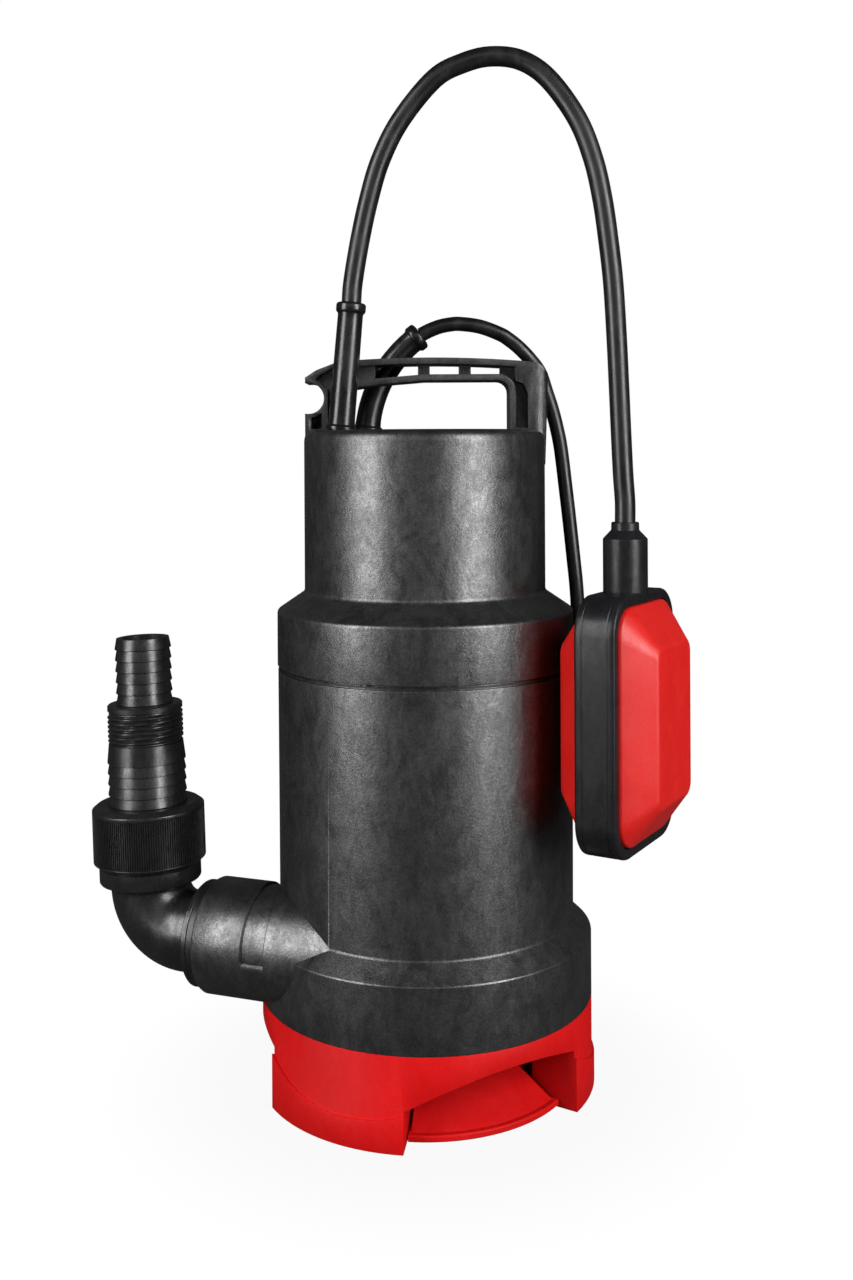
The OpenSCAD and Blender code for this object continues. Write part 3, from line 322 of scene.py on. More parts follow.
class Shader:
    """Builds one node material. Colours are linear; lengths in the patterns are metres."""

    def __init__(self, name, roughness, specular=0.5):
        self.material = bpy.data.materials.new(name)
        self.material.use_nodes = True
        self.nodes = self.material.node_tree.nodes
        self.links = self.material.node_tree.links
        self.bsdf = self.nodes["Principled BSDF"]
        self.bsdf.inputs["Roughness"].default_value = roughness
        self.bsdf.inputs["Specular IOR Level"].default_value = specular
        self.coords = self.nodes.new("ShaderNodeTexCoord").outputs["Object"]

    def noise(self, size, detail=3.0, rough=0.55, stretch=(1, 1, 1), distortion=0.0):
        """Noise from 0 to 1 whose patches are about size millimetres across."""
        mapping = self.nodes.new("ShaderNodeMapping")
        mapping.inputs["Scale"].default_value = stretch
        self.links.new(self.coords, mapping.inputs["Vector"])
        node = self.nodes.new("ShaderNodeTexNoise")
        node.inputs["Scale"].default_value = 1 / (size * MM)
        node.inputs["Detail"].default_value = detail
        node.inputs["Roughness"].default_value = rough
        node.inputs["Distortion"].default_value = distortion
        self.links.new(mapping.outputs["Vector"], node.inputs["Vector"])
        return node.outputs["Fac"]

    def spread(self, value, low, high, to_low=0.0, to_high=1.0):
        """Maps low..high of a value to to_low..to_high, smoothly and clamped."""
        node = self.nodes.new("ShaderNodeMapRange")
        node.interpolation_type = "SMOOTHSTEP"
        node.inputs["From Min"].default_value = low
        node.inputs["From Max"].default_value = high
        node.inputs["To Min"].default_value = to_low
        node.inputs["To Max"].default_value = to_high
        self.links.new(value, node.inputs["Value"])
        return node.outputs["Result"]

    def blend(self, factor, a, b):
        """Mixes two colours, each a tuple or a socket."""
        node = self.nodes.new("ShaderNodeMix")
        node.data_type = "RGBA"
        self.links.new(factor, node.inputs["Factor"])
        for value, socket in ((a, node.inputs[6]), (b, node.inputs[7])):
            if isinstance(value, tuple):
                socket.default_value = (*value, 1)
            else:
                self.links.new(value, socket)
        return node.outputs[2]

    def colour(self, socket):
        self.links.new(socket, self.bsdf.inputs["Base Color"])

    def roughness(self, socket):
        self.links.new(socket, self.bsdf.inputs["Roughness"])

    def math(self, operation, a, b):
        node = self.nodes.new("ShaderNodeMath")
        node.operation = operation
        for value, socket in zip((a, b), node.inputs):
            if isinstance(value, (int, float)):
                socket.default_value = value
            else:
                self.links.new(value, socket)
        return node.outputs[0]

    def bump(self, *layers):
        """Each layer is (height from 0 to 1, depth in millimetres, strength)."""
        normal = None
        for height, depth, strength in layers:
            node = self.nodes.new("ShaderNodeBump")
            node.inputs["Distance"].default_value = depth * MM
            node.inputs["Strength"].default_value = strength
            self.links.new(height, node.inputs["Height"])
            if normal is not None:
                self.links.new(normal, node.inputs["Normal"])
            normal = node.outputs["Normal"]
        self.links.new(normal, self.bsdf.inputs["Normal"])


def moulded_plastic(name, dark, light, rough, grain_depth, mottle=1.0, specular=0.5, grain=0.55,
                    wave=0.12, glint=0.2):
    """Moulded plastic: cloudy flow marks, a fine leathery grain and a few rubbed patches.
    grain is the grain's size, grain_depth and wave are depths, in millimetres, and glint is how
    far the grains differ in how much light they catch."""
    s = Shader(name, rough, specular)
    clouds = s.noise(14, 4, 0.6, (1, 1, 0.7), 0.6)
    flecks = s.noise(1.4, 2, 0.7)
    marks = s.math("ADD", s.math("MULTIPLY", clouds, 0.55), s.math("MULTIPLY", flecks, 0.45))
    s.colour(s.blend(s.spread(marks, 0.5 - 0.16 * mottle, 0.5 + 0.2 / mottle), dark, light))
    rubbed = s.noise(12, 5, 0.7, (1, 1, 0.6), 1.2)
    s.roughness(s.spread(rubbed, 0.35, 0.72, rough + 0.06, rough - 0.08))
    fine = s.noise(grain, 3, 0.65)
    # Grains and scuffs that catch the light more than what is round them
    scuffs = s.noise(5, 4, 0.75, (1, 1, 0.5), 0.8)
    glints = s.math("ADD", s.math("MULTIPLY", s.noise(0.8, 2, 0.8), 0.5),
                    s.math("MULTIPLY", scuffs, 0.5))
    s.links.new(s.spread(glints, 0.38, 0.64, specular * (1 - glint), specular * (1 + glint)),
                s.bsdf.inputs["Specular IOR Level"])
    waves = s.noise(7, 2, 0.5)
    s.bump((waves, wave, 0.35), (fine, grain_depth, 0.6))
    return s.material


def rubber(name, colour, worn, rough):
    """Cable sheath and moulded rubber: slightly dusty, with a soft sheen."""
    s = Shader(name, rough, 0.45)
    dust = s.noise(9, 4, 0.65, (1, 1, 0.5), 0.8)
    s.colour(s.blend(s.spread(dust, 0.42, 0.75), colour, worn))
    s.roughness(s.spread(dust, 0.3, 0.7, rough - 0.05, rough + 0.1))
    s.bump((s.noise(0.5, 2, 0.6), 0.02, 0.4), (s.noise(3.5, 2, 0.5), 0.05, 0.3))
    return s.material


def metal(name, colour, tint, rough, stretch=(1, 1, 12), scratch=0.3):
    """Machined or drawn metal with fine tool marks."""
    s = Shader(name, rough)
    s.bsdf.inputs["Metallic"].default_value = 1.0
    marks = s.noise(0.4, 3, 0.6, stretch)
    stains = s.noise(8, 4, 0.6)
    s.colour(s.blend(s.spread(stains, 0.4, 0.75), colour, tint))
    s.roughness(s.spread(stains, 0.3, 0.7, rough - 0.04, rough + 0.12))
    s.bump((marks, 0.015, scratch))
    return s.material


def build_materials():
    return {
        "housing": moulded_plastic("charcoal_plastic", (0.0045, 0.005, 0.0047),
                                   (0.013, 0.0135, 0.013), rough=0.37, grain_depth=0.12,
                                   mottle=1.1, specular=1.0, grain=1.3, wave=0.2, glint=0.34),
        "fitting": moulded_plastic("black_plastic", (0.007, 0.007, 0.0075),
                                   (0.013, 0.013, 0.014), rough=0.30, grain_depth=0.03,
                                   mottle=0.9, grain=0.8, glint=0.3),
        "base": moulded_plastic("red_plastic", (0.50, 0.0035, 0.004), (0.57, 0.006, 0.0065),
                                rough=0.50, grain_depth=0.02, mottle=0.8, specular=0.16),
        "float_red": moulded_plastic("float_red_plastic", (0.52, 0.008, 0.006),
                                     (0.58, 0.013, 0.010), rough=0.42, grain_depth=0.016,
                                     mottle=0.8, specular=0.42),
        "band": moulded_plastic("float_black_plastic", (0.006, 0.006, 0.007),
                                (0.011, 0.011, 0.0125), rough=0.36, grain_depth=0.018,
                                mottle=0.9, specular=0.25),
        "sleeve": rubber("sleeve_rubber", (0.005, 0.005, 0.0055), (0.010, 0.010, 0.011), 0.25),
        "cable": rubber("cable_rubber", (0.005, 0.005, 0.0055), (0.010, 0.010, 0.011), 0.34),
        "seal": rubber("seal_rubber", (0.006, 0.006, 0.006), (0.011, 0.011, 0.011), 0.4),
        "steel": metal("machined_steel", (0.52, 0.53, 0.55), (0.38, 0.38, 0.39), 0.28),
        "laminations": metal("laminated_steel", (0.16, 0.16, 0.17), (0.10, 0.10, 0.10), 0.45,
                             stretch=(1, 1, 30), scratch=0.6),
        "castings": metal("cast_aluminium", (0.62, 0.63, 0.65), (0.50, 0.51, 0.53), 0.42,
                          stretch=(1, 1, 1), scratch=0.5),
        "copper": metal("enamelled_copper", (0.60, 0.25, 0.11), (0.42, 0.16, 0.07), 0.3,
                        stretch=(1, 1, 20), scratch=0.8),
        "white": moulded_plastic("white_plastic", (0.72, 0.71, 0.67), (0.78, 0.77, 0.73), 0.4,
                                 0.01),
        "carbon": moulded_plastic("carbon_graphite", (0.03, 0.03, 0.03), (0.05, 0.05, 0.052),
                                  0.35, 0.01),
        "button": moulded_plastic("button_plastic", (0.55, 0.03, 0.03), (0.62, 0.05, 0.04), 0.35,
                                  0.01),
        "polished": metal("polished_steel", (0.70, 0.71, 0.73), (0.62, 0.63, 0.65), 0.08,
                          stretch=(1, 1, 1), scratch=0.1),
        "nickel": metal("nickel_plate", (0.66, 0.65, 0.62), (0.55, 0.54, 0.50), 0.16,
                        stretch=(6, 1, 1), scratch=0.2),
    }


# ---------------------------------------------------------------- camera, light and floor

def make_camera():
    """A level camera in front of the pump, framed as an 853 x 1280 upright picture."""
    long_side = 1280
    short_side = 853
    focal_px = 1343
    centre_px = (424.4, 445.5)
    data = bpy.data.cameras.new("camera")
    data.sensor_width = 36
    data.lens = focal_px * data.sensor_width / long_side
    data.shift_x = (short_side / 2 - centre_px[0]) / long_side
    data.shift_y = -(long_side / 2 - centre_px[1]) / long_side
    data.clip_start = 0.01
    data.clip_end = 100
    camera = bpy.data.objects.new("camera", data)
    bpy.context.scene.collection.objects.link(camera)
    at = (0, -0.659, 0.306)
    level = Matrix.Rotation(math.radians(90), 4, "X")
    roll = Matrix.Rotation(math.radians(-0.29), 4, "Z")
    camera.matrix_world = move(*at) @ level @ roll
    bpy.context.scene.camera = camera


def softbox(name, at, look_at, width, height, watts):
    data = bpy.data.lights.new(name, "AREA")
    data.shape = "RECTANGLE"
    data.size = width
    data.size_y = height
    data.energy = watts
    lamp = bpy.data.objects.new(name, data)
    bpy.context.scene.collection.objects.link(lamp)
    lamp.location = at
    lamp.rotation_euler = (Vector(look_at) - Vector(at)).to_track_quat("-Z", "Y").to_euler()


def make_world():
    """A studio: white behind the object, dim where it lights the object or is mirrored in it."""
    behind = 1.0
    lights = 0.05
    mirrored_level = 0.06
    mirrored_overhead = 0.015
    world = bpy.data.worlds.new("studio")
    bpy.context.scene.world = world
    world.use_nodes = True
    nodes, links = world.node_tree.nodes, world.node_tree.links
    background = nodes["Background"]
    background.inputs["Color"].default_value = (1, 1, 1, 1)
    path = nodes.new("ShaderNodeLightPath")
    seen = nodes.new("ShaderNodeMath")
    seen.operation = "MAXIMUM"
    links.new(path.outputs["Is Camera Ray"], seen.inputs[0])
    links.new(path.outputs["Is Transmission Ray"], seen.inputs[1])
    lit = nodes.new("ShaderNodeMix")
    lit.inputs[2].default_value = lights
    links.new(path.outputs["Is Glossy Ray"], lit.inputs[0])
    # What shiny faces mirror is darker overhead than at the height of the lamps
    upwards = nodes.new("ShaderNodeSeparateXYZ")
    links.new(nodes.new("ShaderNodeTexCoord").outputs["Generated"], upwards.inputs[0])
    mirrored = nodes.new("ShaderNodeMapRange")
    mirrored.interpolation_type = "SMOOTHSTEP"
    mirrored.inputs["From Min"].default_value = 0.55
    mirrored.inputs["From Max"].default_value = 0.85
    mirrored.inputs["To Min"].default_value = mirrored_level
    mirrored.inputs["To Max"].default_value = mirrored_overhead
    links.new(upwards.outputs["Z"], mirrored.inputs["Value"])
    links.new(mirrored.outputs["Result"], lit.inputs[3])
    level = nodes.new("ShaderNodeMix")
    level.inputs[3].default_value = behind
    links.new(seen.outputs[0], level.inputs[0])
    links.new(lit.outputs[0], level.inputs[2])
    links.new(level.outputs[0], background.inputs["Strength"])


def make_floor():
    """A plain floor that keeps a faint shadow near the object and is white to the camera."""
    near, far = 0.08, 0.17
    share_near = 0.94
    s = Shader("pale_floor", 0.9, 0.1)
    s.bsdf.inputs["Base Color"].default_value = (0.08, 0.08, 0.08, 1)
    length = s.nodes.new("ShaderNodeVectorMath")
    length.operation = "LENGTH"
    s.links.new(s.coords, length.inputs[0])
    white = s.spread(length.outputs["Value"], near, far, share_near, 1.0)
    path = s.nodes.new("ShaderNodeLightPath")
    share = s.math("MULTIPLY", white, path.outputs["Is Camera Ray"])
    glow = s.nodes.new("ShaderNodeEmission")
    mix = s.nodes.new("ShaderNodeMixShader")
    s.links.new(share, mix.inputs["Fac"])
    s.links.new(s.bsdf.outputs[0], mix.inputs[1])
    s.links.new(glow.outputs[0], mix.inputs[2])
    s.links.new(mix.outputs[0], s.nodes["Material Output"].inputs["Surface"])
    reach = 12000
    corners = [(-reach, -reach, 0), (reach, -reach, 0), (reach, reach, 0), (-reach, reach, 0)]
    floor = new_object("floor", corners, [(0, 1, 2, 3)], s.material)


def make_studio():
    make_camera()
    make_world()
    make_floor()
    softbox("left_strip", (-0.93, -0.66, 0.58), (0, 0, 0.26), 0.50, 1.0, 16)
    softbox("right_strip", (0.83, -0.78, 0.58), (0, 0, 0.26), 0.50, 1.0, 19)
    softbox("front_fill", (0.0, -1.7, 0.95), (0, 0, 0.2), 2.0, 0.8, 3)
    bpy.context.scene.view_settings.view_transform = "Standard"


# ---------------------------------------------------------------- cords

FLOAT_ROUTE = [
    (-34.4, -19.5, 374.3), (-33.6, -19.5, 384), (-30.3, -20.5, 403), (-26, -22, 422),
    (-20.1, -24, 441), (-10.4, -26, 459.5), (5.5, -29, 478), (19, -30.5, 484.9),
    (32, -32, 487.5), (46, -34, 485), (58.5, -36, 475.7), (71.3, -38, 457), (78.5, -39.5, 438),
    (82.5, -41, 419), (85, -42, 400), (87, -43, 380), (88.3, -44, 355), (89.2, -44.5, 332),
    (90, -45, 310), (90.8, -45, 292), (91.6, -45, 280.1), (91.6, -45, 270.6),
]
MAINS_ROUTE = [
    (-1.5, 20, 361.9), (3.3, 20, 364.3), (8.2, 20, 366.1), (13.3, 20, 367.1), (18.4, 20.5, 367.4),
    (28.5, 21, 366), (38.6, 22, 362.3), (43.7, 23, 359.2), (48.7, 23.5, 355.1),
    (53.8, 24.5, 349.8), (58.9, 25, 342.8), (62.4, 25.5, 332.6), (65.2, 26, 324),
    (67.7, 26, 313.9), (69.6, 26, 303.7), (72, 26, 283.3), (73.7, 26, 268), (75.8, 26, 247.6),
    (77.3, 26.5, 232.3), (78, 28, 217), (77.4, 31, 201), (76.2, 37, 183), (74, 43.5, 165),
    (71, 50, 147), (68, 56.5, 129), (65.5, 63, 111), (64, 69.5, 93), (63.7, 76, 75),
    (64.7, 83, 57), (67, 90.5, 40), (70.3, 99, 25), (74.3, 109.5, 13), (77.5, 121, 6.2),
    (79.8, 133, 4), (81.2, 145, 3.7), (81.9, 153, 3.7), (81.9, 160.7, 3.7),
]
COIL_AT = (0, 168)
COIL_OUT_R = 81.9
COIL_TURNS = 23.875
COIL_PITCH = 8.7
COIL_LAYERS = 5
CLIMB_TURNS = 0.5
# From the coil's last turn up over its top, to the plug: turns about RISE_AT and heights
RISE_R = 36
RISE_AT = (10.6, 167.8)
RISE_STEPS = [
    (-45, 38.5), (-37.5, 40.7), (-30, 42.9), (-15, 45.6), (0, 47.2), (15, 48.9), (30, 50.8),
    (45, 52.9), (60, 55.2), (75, 57.6), (90, 59.6),
]
PLUG_AT = (RISE_AT[0] - 14, RISE_AT[1] + RISE_R, 60.7)


def rise_points():
    points = [
        (RISE_AT[0] + RISE_R * math.cos(math.radians(a)),
         RISE_AT[1] + RISE_R * math.sin(math.radians(a)), z)
        for a, z in RISE_STEPS
    ]
    return points + [(RISE_AT[0] - 7, PLUG_AT[1], PLUG_AT[2]), PLUG_AT]


def coil_points(per_turn=48):
    """The coil winds in and out in layers and climbs in the half turn between them."""
    layer = (COIL_TURNS - (COIL_LAYERS - 1) * CLIMB_TURNS) / COIL_LAYERS
    span = layer + CLIMB_TURNS
    in_r = COIL_OUT_R - layer * COIL_PITCH
    points = []
    for i in range(round(COIL_TURNS * per_turn) + 1):
        t = i / per_turn
        k = min(math.floor(t / span), COIL_LAYERS - 1)
        f = min(1, (t - k * span) / layer)
        rise = max(0, (t - k * span - layer) / CLIMB_TURNS)
        reach = in_r + (COIL_OUT_R - in_r) * (f if k % 2 else 1 - f)
        a = math.tau * t
        points.append(Vector((COIL_AT[0] + reach * math.cos(a), COIL_AT[1] + reach * math.sin(a),
                              MAINS_CABLE_D / 2 + (k + rise) * COIL_PITCH)))
    return points


def make_float_cable(mats):
    path = smooth_path(FLOAT_ROUTE, 8)
    cable = swept("float_cable_sheath", path, FLOAT_CABLE_D / 2, mats["cable"])
    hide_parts("float_cable")
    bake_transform(cable)


def make_mains_cable(mats):
    route = smooth_path(MAINS_ROUTE, 6)
    coil = coil_points()
    end = smooth_path(rise_points(), 6)
    path = route + coil + end
    cable = swept("mains_cable_sheath", path, MAINS_CABLE_D / 2, mats["cable"], steps=16)
    plug = make_plug(mats)
    ride_as(cable, "root", "cable_black", "mains_cable", "mains_coil", "mains_cable_end")


def make_plug(mats):
    """Moulded two-pin mains plug with a ribbed strain relief."""
    at = move(*PLUG_AT) @ ry(-90)
    sleeve_l = 28
    body_l = 36
    plug_r = 18.5
    outline = rounded(
        [(0, 0), (8.5, 0), (10.5, 3), (12, 9), (plug_r, 15), (plug_r, body_l), (0, body_l)],
        [0, 1, 2, 4, 4, 1.2, 0], 4)
    body = lathe("plug_housing", outline, mats["sleeve"], at @ move(0, 0, sleeve_l), 96)
    grips = polar_copies("plug_grips", plug_r - 0.6, 10, rib_part(1.2, 1.0, 16), mats["sleeve"],
                         at @ move(0, 0, sleeve_l + 18))
    sleeve_outline = [(0, 0), (MAINS_CABLE_D / 2 + 0.9, 0)]
    rings = 6
    for i in range(rings):
        z = 2 + i * 4.2
        r = MAINS_CABLE_D / 2 + 1.2 + i * 0.55
        sleeve_outline += [(r, z), (r + 0.25, z + 2.4), (r - 0.9, z + 2.7), (r - 0.9, z + 3.9)]
    sleeve_outline += [(7.4, sleeve_l - 1), (7.4, sleeve_l), (0, sleeve_l)]
    sleeve = lathe("plug_strain_relief", sleeve_outline, mats["sleeve"], at, 48)
    ride_as(body, "root", "sleeve_black", "plug_body")
    ride_as(grips, "root", "sleeve_black")
    ride_as(sleeve, "root", "sleeve_black", "plug_sleeve")
    pieces = [body, grips, sleeve]
    for i, y in enumerate((-9.5, 9.5)):
        outline = rounded([(0, 0), (2.4, 0), (2.4, 19), (0, 19)], [0, 0, 1.2, 0], 4)
        pin = lathe(f"plug_pin_{i + 1}", outline, mats["nickel"],
                    at @ move(0, y, sleeve_l + body_l), 32)
        if i == 0:
            ride_as(pin, "root", "pin_nickel", "plug_pins")
        else:
            ride_as(pin, "root", "pin_nickel")
        pieces.append(pin)
    return pieces


# ---------------------------------------------------------------- repeated parts

def rib_part(width, depth, height):
    """A small rib with a rounded back: it stands along Z and points along +X."""
    half = width / 2
    section = [(0, -half), (depth * 0.7, -half), (depth, -half * 0.4), (depth, half * 0.4),
               (depth * 0.7, half), (0, half)]
    verts = [(x, y, z) for z in (-height / 2, height / 2) for x, y in section]
    n = len(section)
    faces = [(k, (k + 1) % n, n + (k + 1) % n, n + k) for k in range(n)]
    faces += [tuple(reversed(range(n))), tuple(range(n, 2 * n))]
    return new_object("rib_part", verts, faces, blank)


def polar_copies(name, radius, count, part, material, place):
    """Geometry Nodes set copies of a part round a circle, facing outwards; the result is a plain
    mesh in its place."""
    tree = bpy.data.node_groups.new(name + "_nodes", "GeometryNodeTree")
    face = tree.interface
    face.new_socket("Geometry", in_out="INPUT", socket_type="NodeSocketGeometry")
    count_in = face.new_socket("Count", in_out="INPUT", socket_type="NodeSocketInt")
    radius_in = face.new_socket("Radius", in_out="INPUT", socket_type="NodeSocketFloat")
    part_in = face.new_socket("Part", in_out="INPUT", socket_type="NodeSocketObject")
    material_in = face.new_socket("Material", in_out="INPUT", socket_type="NodeSocketMaterial")
    face.new_socket("Geometry", in_out="OUTPUT", socket_type="NodeSocketGeometry")
    new = tree.nodes.new
    link = tree.links.new
    given = new("NodeGroupInput")
    result = new("NodeGroupOutput")
    circle = new("GeometryNodeMeshCircle")
    part_info = new("GeometryNodeObjectInfo")
    position = new("GeometryNodeInputPosition")
    align = new("FunctionNodeAlignRotationToVector")
    align.axis = "X"
    align.pivot_axis = "Z"
    copies = new("GeometryNodeInstanceOnPoints")
    real = new("GeometryNodeRealizeInstances")
    paint = new("GeometryNodeSetMaterial")
    link(given.outputs["Count"], circle.inputs["Vertices"])
    link(given.outputs["Radius"], circle.inputs["Radius"])
    link(given.outputs["Part"], part_info.inputs["Object"])
    link(given.outputs["Material"], paint.inputs["Material"])
    link(position.outputs[0], align.inputs["Vector"])
    link(circle.outputs["Mesh"], copies.inputs["Points"])
    link(part_info.outputs["Geometry"], copies.inputs["Instance"])
    link(align.outputs[0], copies.inputs["Rotation"])
    link(copies.outputs[0], real.inputs[0])
    link(real.outputs[0], paint.inputs["Geometry"])
    link(paint.outputs[0], result.inputs[0])
    obj = new_object(name, [(0, 0, 0)], [], blank)
    modifier = obj.modifiers.new("copies", "NODES")
    modifier.node_group = tree
    modifier[count_in.identifier] = count
    modifier[radius_in.identifier] = radius * MM
    modifier[part_in.identifier] = part
    modifier[material_in.identifier] = material
    apply_modifiers(obj)
    obj.data.transform(move(*(place.translation * MM)) @ place.to_quaternion().to_matrix().to_4x4())
    finish_mesh(obj, material)
    bpy.data.objects.remove(part)
    return obj


# ---------------------------------------------------------------- pump housing and cap

def at_mouth():
    a = math.radians(OUTLET_TURN)
    x = OUTLET_LENGTH * math.cos(a) - OUTLET_OFFSET * math.sin(a)
    y = OUTLET_LENGTH * math.sin(a) + OUTLET_OFFSET * math.cos(a)
    return move(x, y, OUTLET_Z) @ rz(OUTLET_TURN)


def tie_places():
    for i in range(3):
        a = math.radians(TIE_TURN + 120 * i)
        yield move(TIE_R * math.cos(a), TIE_R * math.sin(a), 0)


def pipe_solid(place):
    """The outlet pipe from its mouth inwards, with a shallow band round its upper half."""
    sleeve = 26
    band = 11.5
    band_low = -3
    outline = [(OUTLET_R, 0), (OUTLET_R, sleeve), (OUTLET_R - 1.2, sleeve),
               (OUTLET_R - 1.2, sleeve + band), (OUTLET_R, sleeve + band),
               (OUTLET_R, OUTLET_LENGTH - 6)]
    outline = rounded(outline, [0, 0.5, 0.3, 0.3, 0.5, 0], 4, False)
    outline = [(OUTLET_R - 1.1, 0), (OUTLET_R - 0.4, 0.2), (OUTLET_R, 1.0)] + outline[1:]
    rings = []
    for r, z in outline:
        ring = []
        for k in range(180):
            a = math.tau * k / 180
            upper = min(1, max(0, OUTLET_R * math.cos(a) - band_low))
            here = OUTLET_R + (r - OUTLET_R) * (upper if z > 2 else 1)
            ring.append((here * math.cos(a), here * math.sin(a), z))
        rings.append(ring)
    return loft("pipe", rings, blank, place, False)


def make_housing(mats):
    """The housing with its outlet pipe: outside, then the chamber, motor room and bores."""
    outline = [(0, BASE_H), (BASE_R, BASE_H), (BASE_R, 72), (71.4, 80), (BODY_R, BODY_TOP - 0.5),
               (BODY_R - 1.4, BODY_TOP - 0.5), (BODY_R - 1.4, BODY_TOP), (0, BODY_TOP)]
    body = lathe("pump_housing_shell", rounded(outline, [0, 0.5, 1.4, 2.0, 0.4, 0, 0, 0], 5),
                 mats["housing"], steps=192)
    inwards = at_mouth() @ ry(-90)
    carve(body, [pipe_solid(inwards)], "UNION")
    # The oil chamber, a ledge for its cover and the motor room above it, in one cut that leaves
    # a column for each tie screw
    room_r = BODY_R - WALL
    room = [(22, 92), (room_r, 92), (room_r, 107), (58, 107), (58, 113), (room_r, 113),
            (room_r, BODY_TOP + 1), (0, BODY_TOP + 1), (0, 110), (22, 110)]
    room = lathe("cutter", room, blank, steps=192)
    column_r = 5
    carve(room, [rod(column_r, 90, 120, place) for place in tie_places()], "DIFFERENCE")
    shaft_hole_r = 8
    seal_seat_r = 14
    elbow_socket_r = 21.4
    tie_hole_r = 2.8
    cuts = [room, rod(CHAMBER_R, BASE_H - 1, CHAMBER_TOP - BASE_H + 1, steps=160),
            rod(shaft_hole_r, CHAMBER_TOP - 1, 30), rod(seal_seat_r, 92, 20),
            rod(OUTLET_BORE_R, -1, OUTLET_LENGTH + 15, inwards, 96),
            rod(elbow_socket_r, -1, 19, inwards, 96)]
    cuts += [rod(tie_hole_r, BASE_H - 1, BODY_TOP, place, 24) for place in tie_places()]
    carve(body, cuts, "DIFFERENCE")
    finish_mesh(body, mats["housing"], 28)
    ride_as(body, "root", "housing_charcoal", "pump_housing")


def make_cap(mats):
    """The motor cap, a stepped bell with a rounded rim."""
    z = BODY_TOP + GASKET_T
    outside = [(RING_R - 2, z), (RING_R - 2, z + 0.8), (RING_R, z + 0.8),
               (RING_R, RING_TOP), (CAP_R, SHOULDER_TOP), (CAP_R, CAP_TOP), (0, CAP_TOP)]
    inside = [(0, CAP_TOP - WALL), (CAP_R - WALL, CAP_TOP - WALL),
              (CAP_R - WALL, SHOULDER_TOP - 4.5), (RING_R - WALL, RING_TOP - 4),
              (RING_R - WALL, z)]
    radii = [0, 0, 0.35, 2.4, 3.0, 5.5, 0, 0, 3, 2, 2, 0.3]
    cap = lathe("motor_cap_shell", rounded(outside + inside, radii, 6), mats["housing"], steps=192)
    boss_r = 4.6
    carve(cap, [rod(boss_r, z, 20, place, 32) for place in tie_places()], "UNION")
    tie_hole_r = 2.55
    gland_r = 6.5
    cuts = [rod(tie_hole_r, z - 1, 13, place, 24) for place in tie_places()]
    cuts += [rod(gland_r, CAP_TOP - 5, 8, move(x, y, 0), 48)
             for x, y in (FLOAT_GLAND, MAINS_GLAND)]
    carve(cap, cuts, "DIFFERENCE")
    finish_mesh(cap, mats["housing"], 28)
    ride_as(cap, "root", "housing_charcoal", "motor_cap")


def make_sleeves(mats):
    """Two rubber cable sleeves: a flange inside the cap, a long tapered body and an end collar."""
    root = CAP_TOP - WALL - 3

    def profile(length):
        """Distances from the cap's top and radii, down the outside of a sleeve."""
        return [(root - CAP_TOP, 8.7), (root - CAP_TOP + 3, 8.7), (root - CAP_TOP + 3, 6.4),
                (0.1, 6.4), (0.4, 7.4), (1.6, 7.4), (2.6, 6.5), (6, 6.3), (length - 6.2, 6.0),
                (length - 5.2, 6.2), (length - 4.7, 6.8), (length - 4.0, 7.1),
                (length - 1.4, 7.1), (length - 0.7, 6.8), (length - 0.3, 6.2), (length, 5.0)]

    def fine(points):
        """Extra stations on long stretches."""
        out = [points[0]]
        for (s0, r0), (s1, r1) in zip(points, points[1:]):
            parts = max(1, int((s1 - s0) / 3))
            out += [(s0 + (s1 - s0) * k / parts, r0 + (r1 - r0) * k / parts)
                    for k in range(1, parts + 1)]
        return out

    straight = move(*FLOAT_GLAND, CAP_TOP) @ ry(5)
    stations = fine(profile(61))
    rings = [circle_ring(r, s, 48) for s, r in stations]
    float_sleeve = loft("float_cable_grommet", rings, mats["sleeve"], straight, False)
    ride_as(float_sleeve, "root", "sleeve_black", "float_cable_sleeve")
    bend_r = 64
    bend = 50.4
    arc_l = math.radians(bend) * bend_r
    base = move(*MAINS_GLAND, CAP_TOP) @ ry(3.6)

    def bent(s):
        """The frame at distance s along the curved sleeve."""
        turn = math.degrees(min(max(s, 0), arc_l) / bend_r)
        rest = s if s < 0 else max(0, s - arc_l)
        return base @ move(bend_r, 0, 0) @ ry(turn) @ move(-bend_r, 0, rest)

    rings = []
    for s, r in fine(profile(arc_l + 1.2)):
        rings.append([bent(s) @ Vector(p) for p in circle_ring(r, 0, 48)])
    mains_sleeve = loft("mains_cable_grommet", rings, mats["sleeve"], Matrix(), False)
    ride_as(mains_sleeve, "root", "sleeve_black", "mains_cable_sleeve")


# ---------------------------------------------------------------- elbow, nut and connector

def along_elbow(s):
    """The frame at distance s from the outlet's mouth: +Z runs on along the elbow."""
    bend_l = math.radians(BEND_ANGLE) * BEND_R
    turn = math.degrees(min(max(s - BEND_START, 0), bend_l) / BEND_R)
    before = min(s, BEND_START)
    after = max(0, s - BEND_START - bend_l)
    start = at_mouth() @ ry(90) @ move(0, 0, before)
    return start @ move(-BEND_R, 0, 0) @ ry(-turn) @ move(BEND_R, 0, 0) @ move(0, 0, after)


def at_connector():
    return along_elbow(BEND_START + math.radians(BEND_ANGLE) * BEND_R)


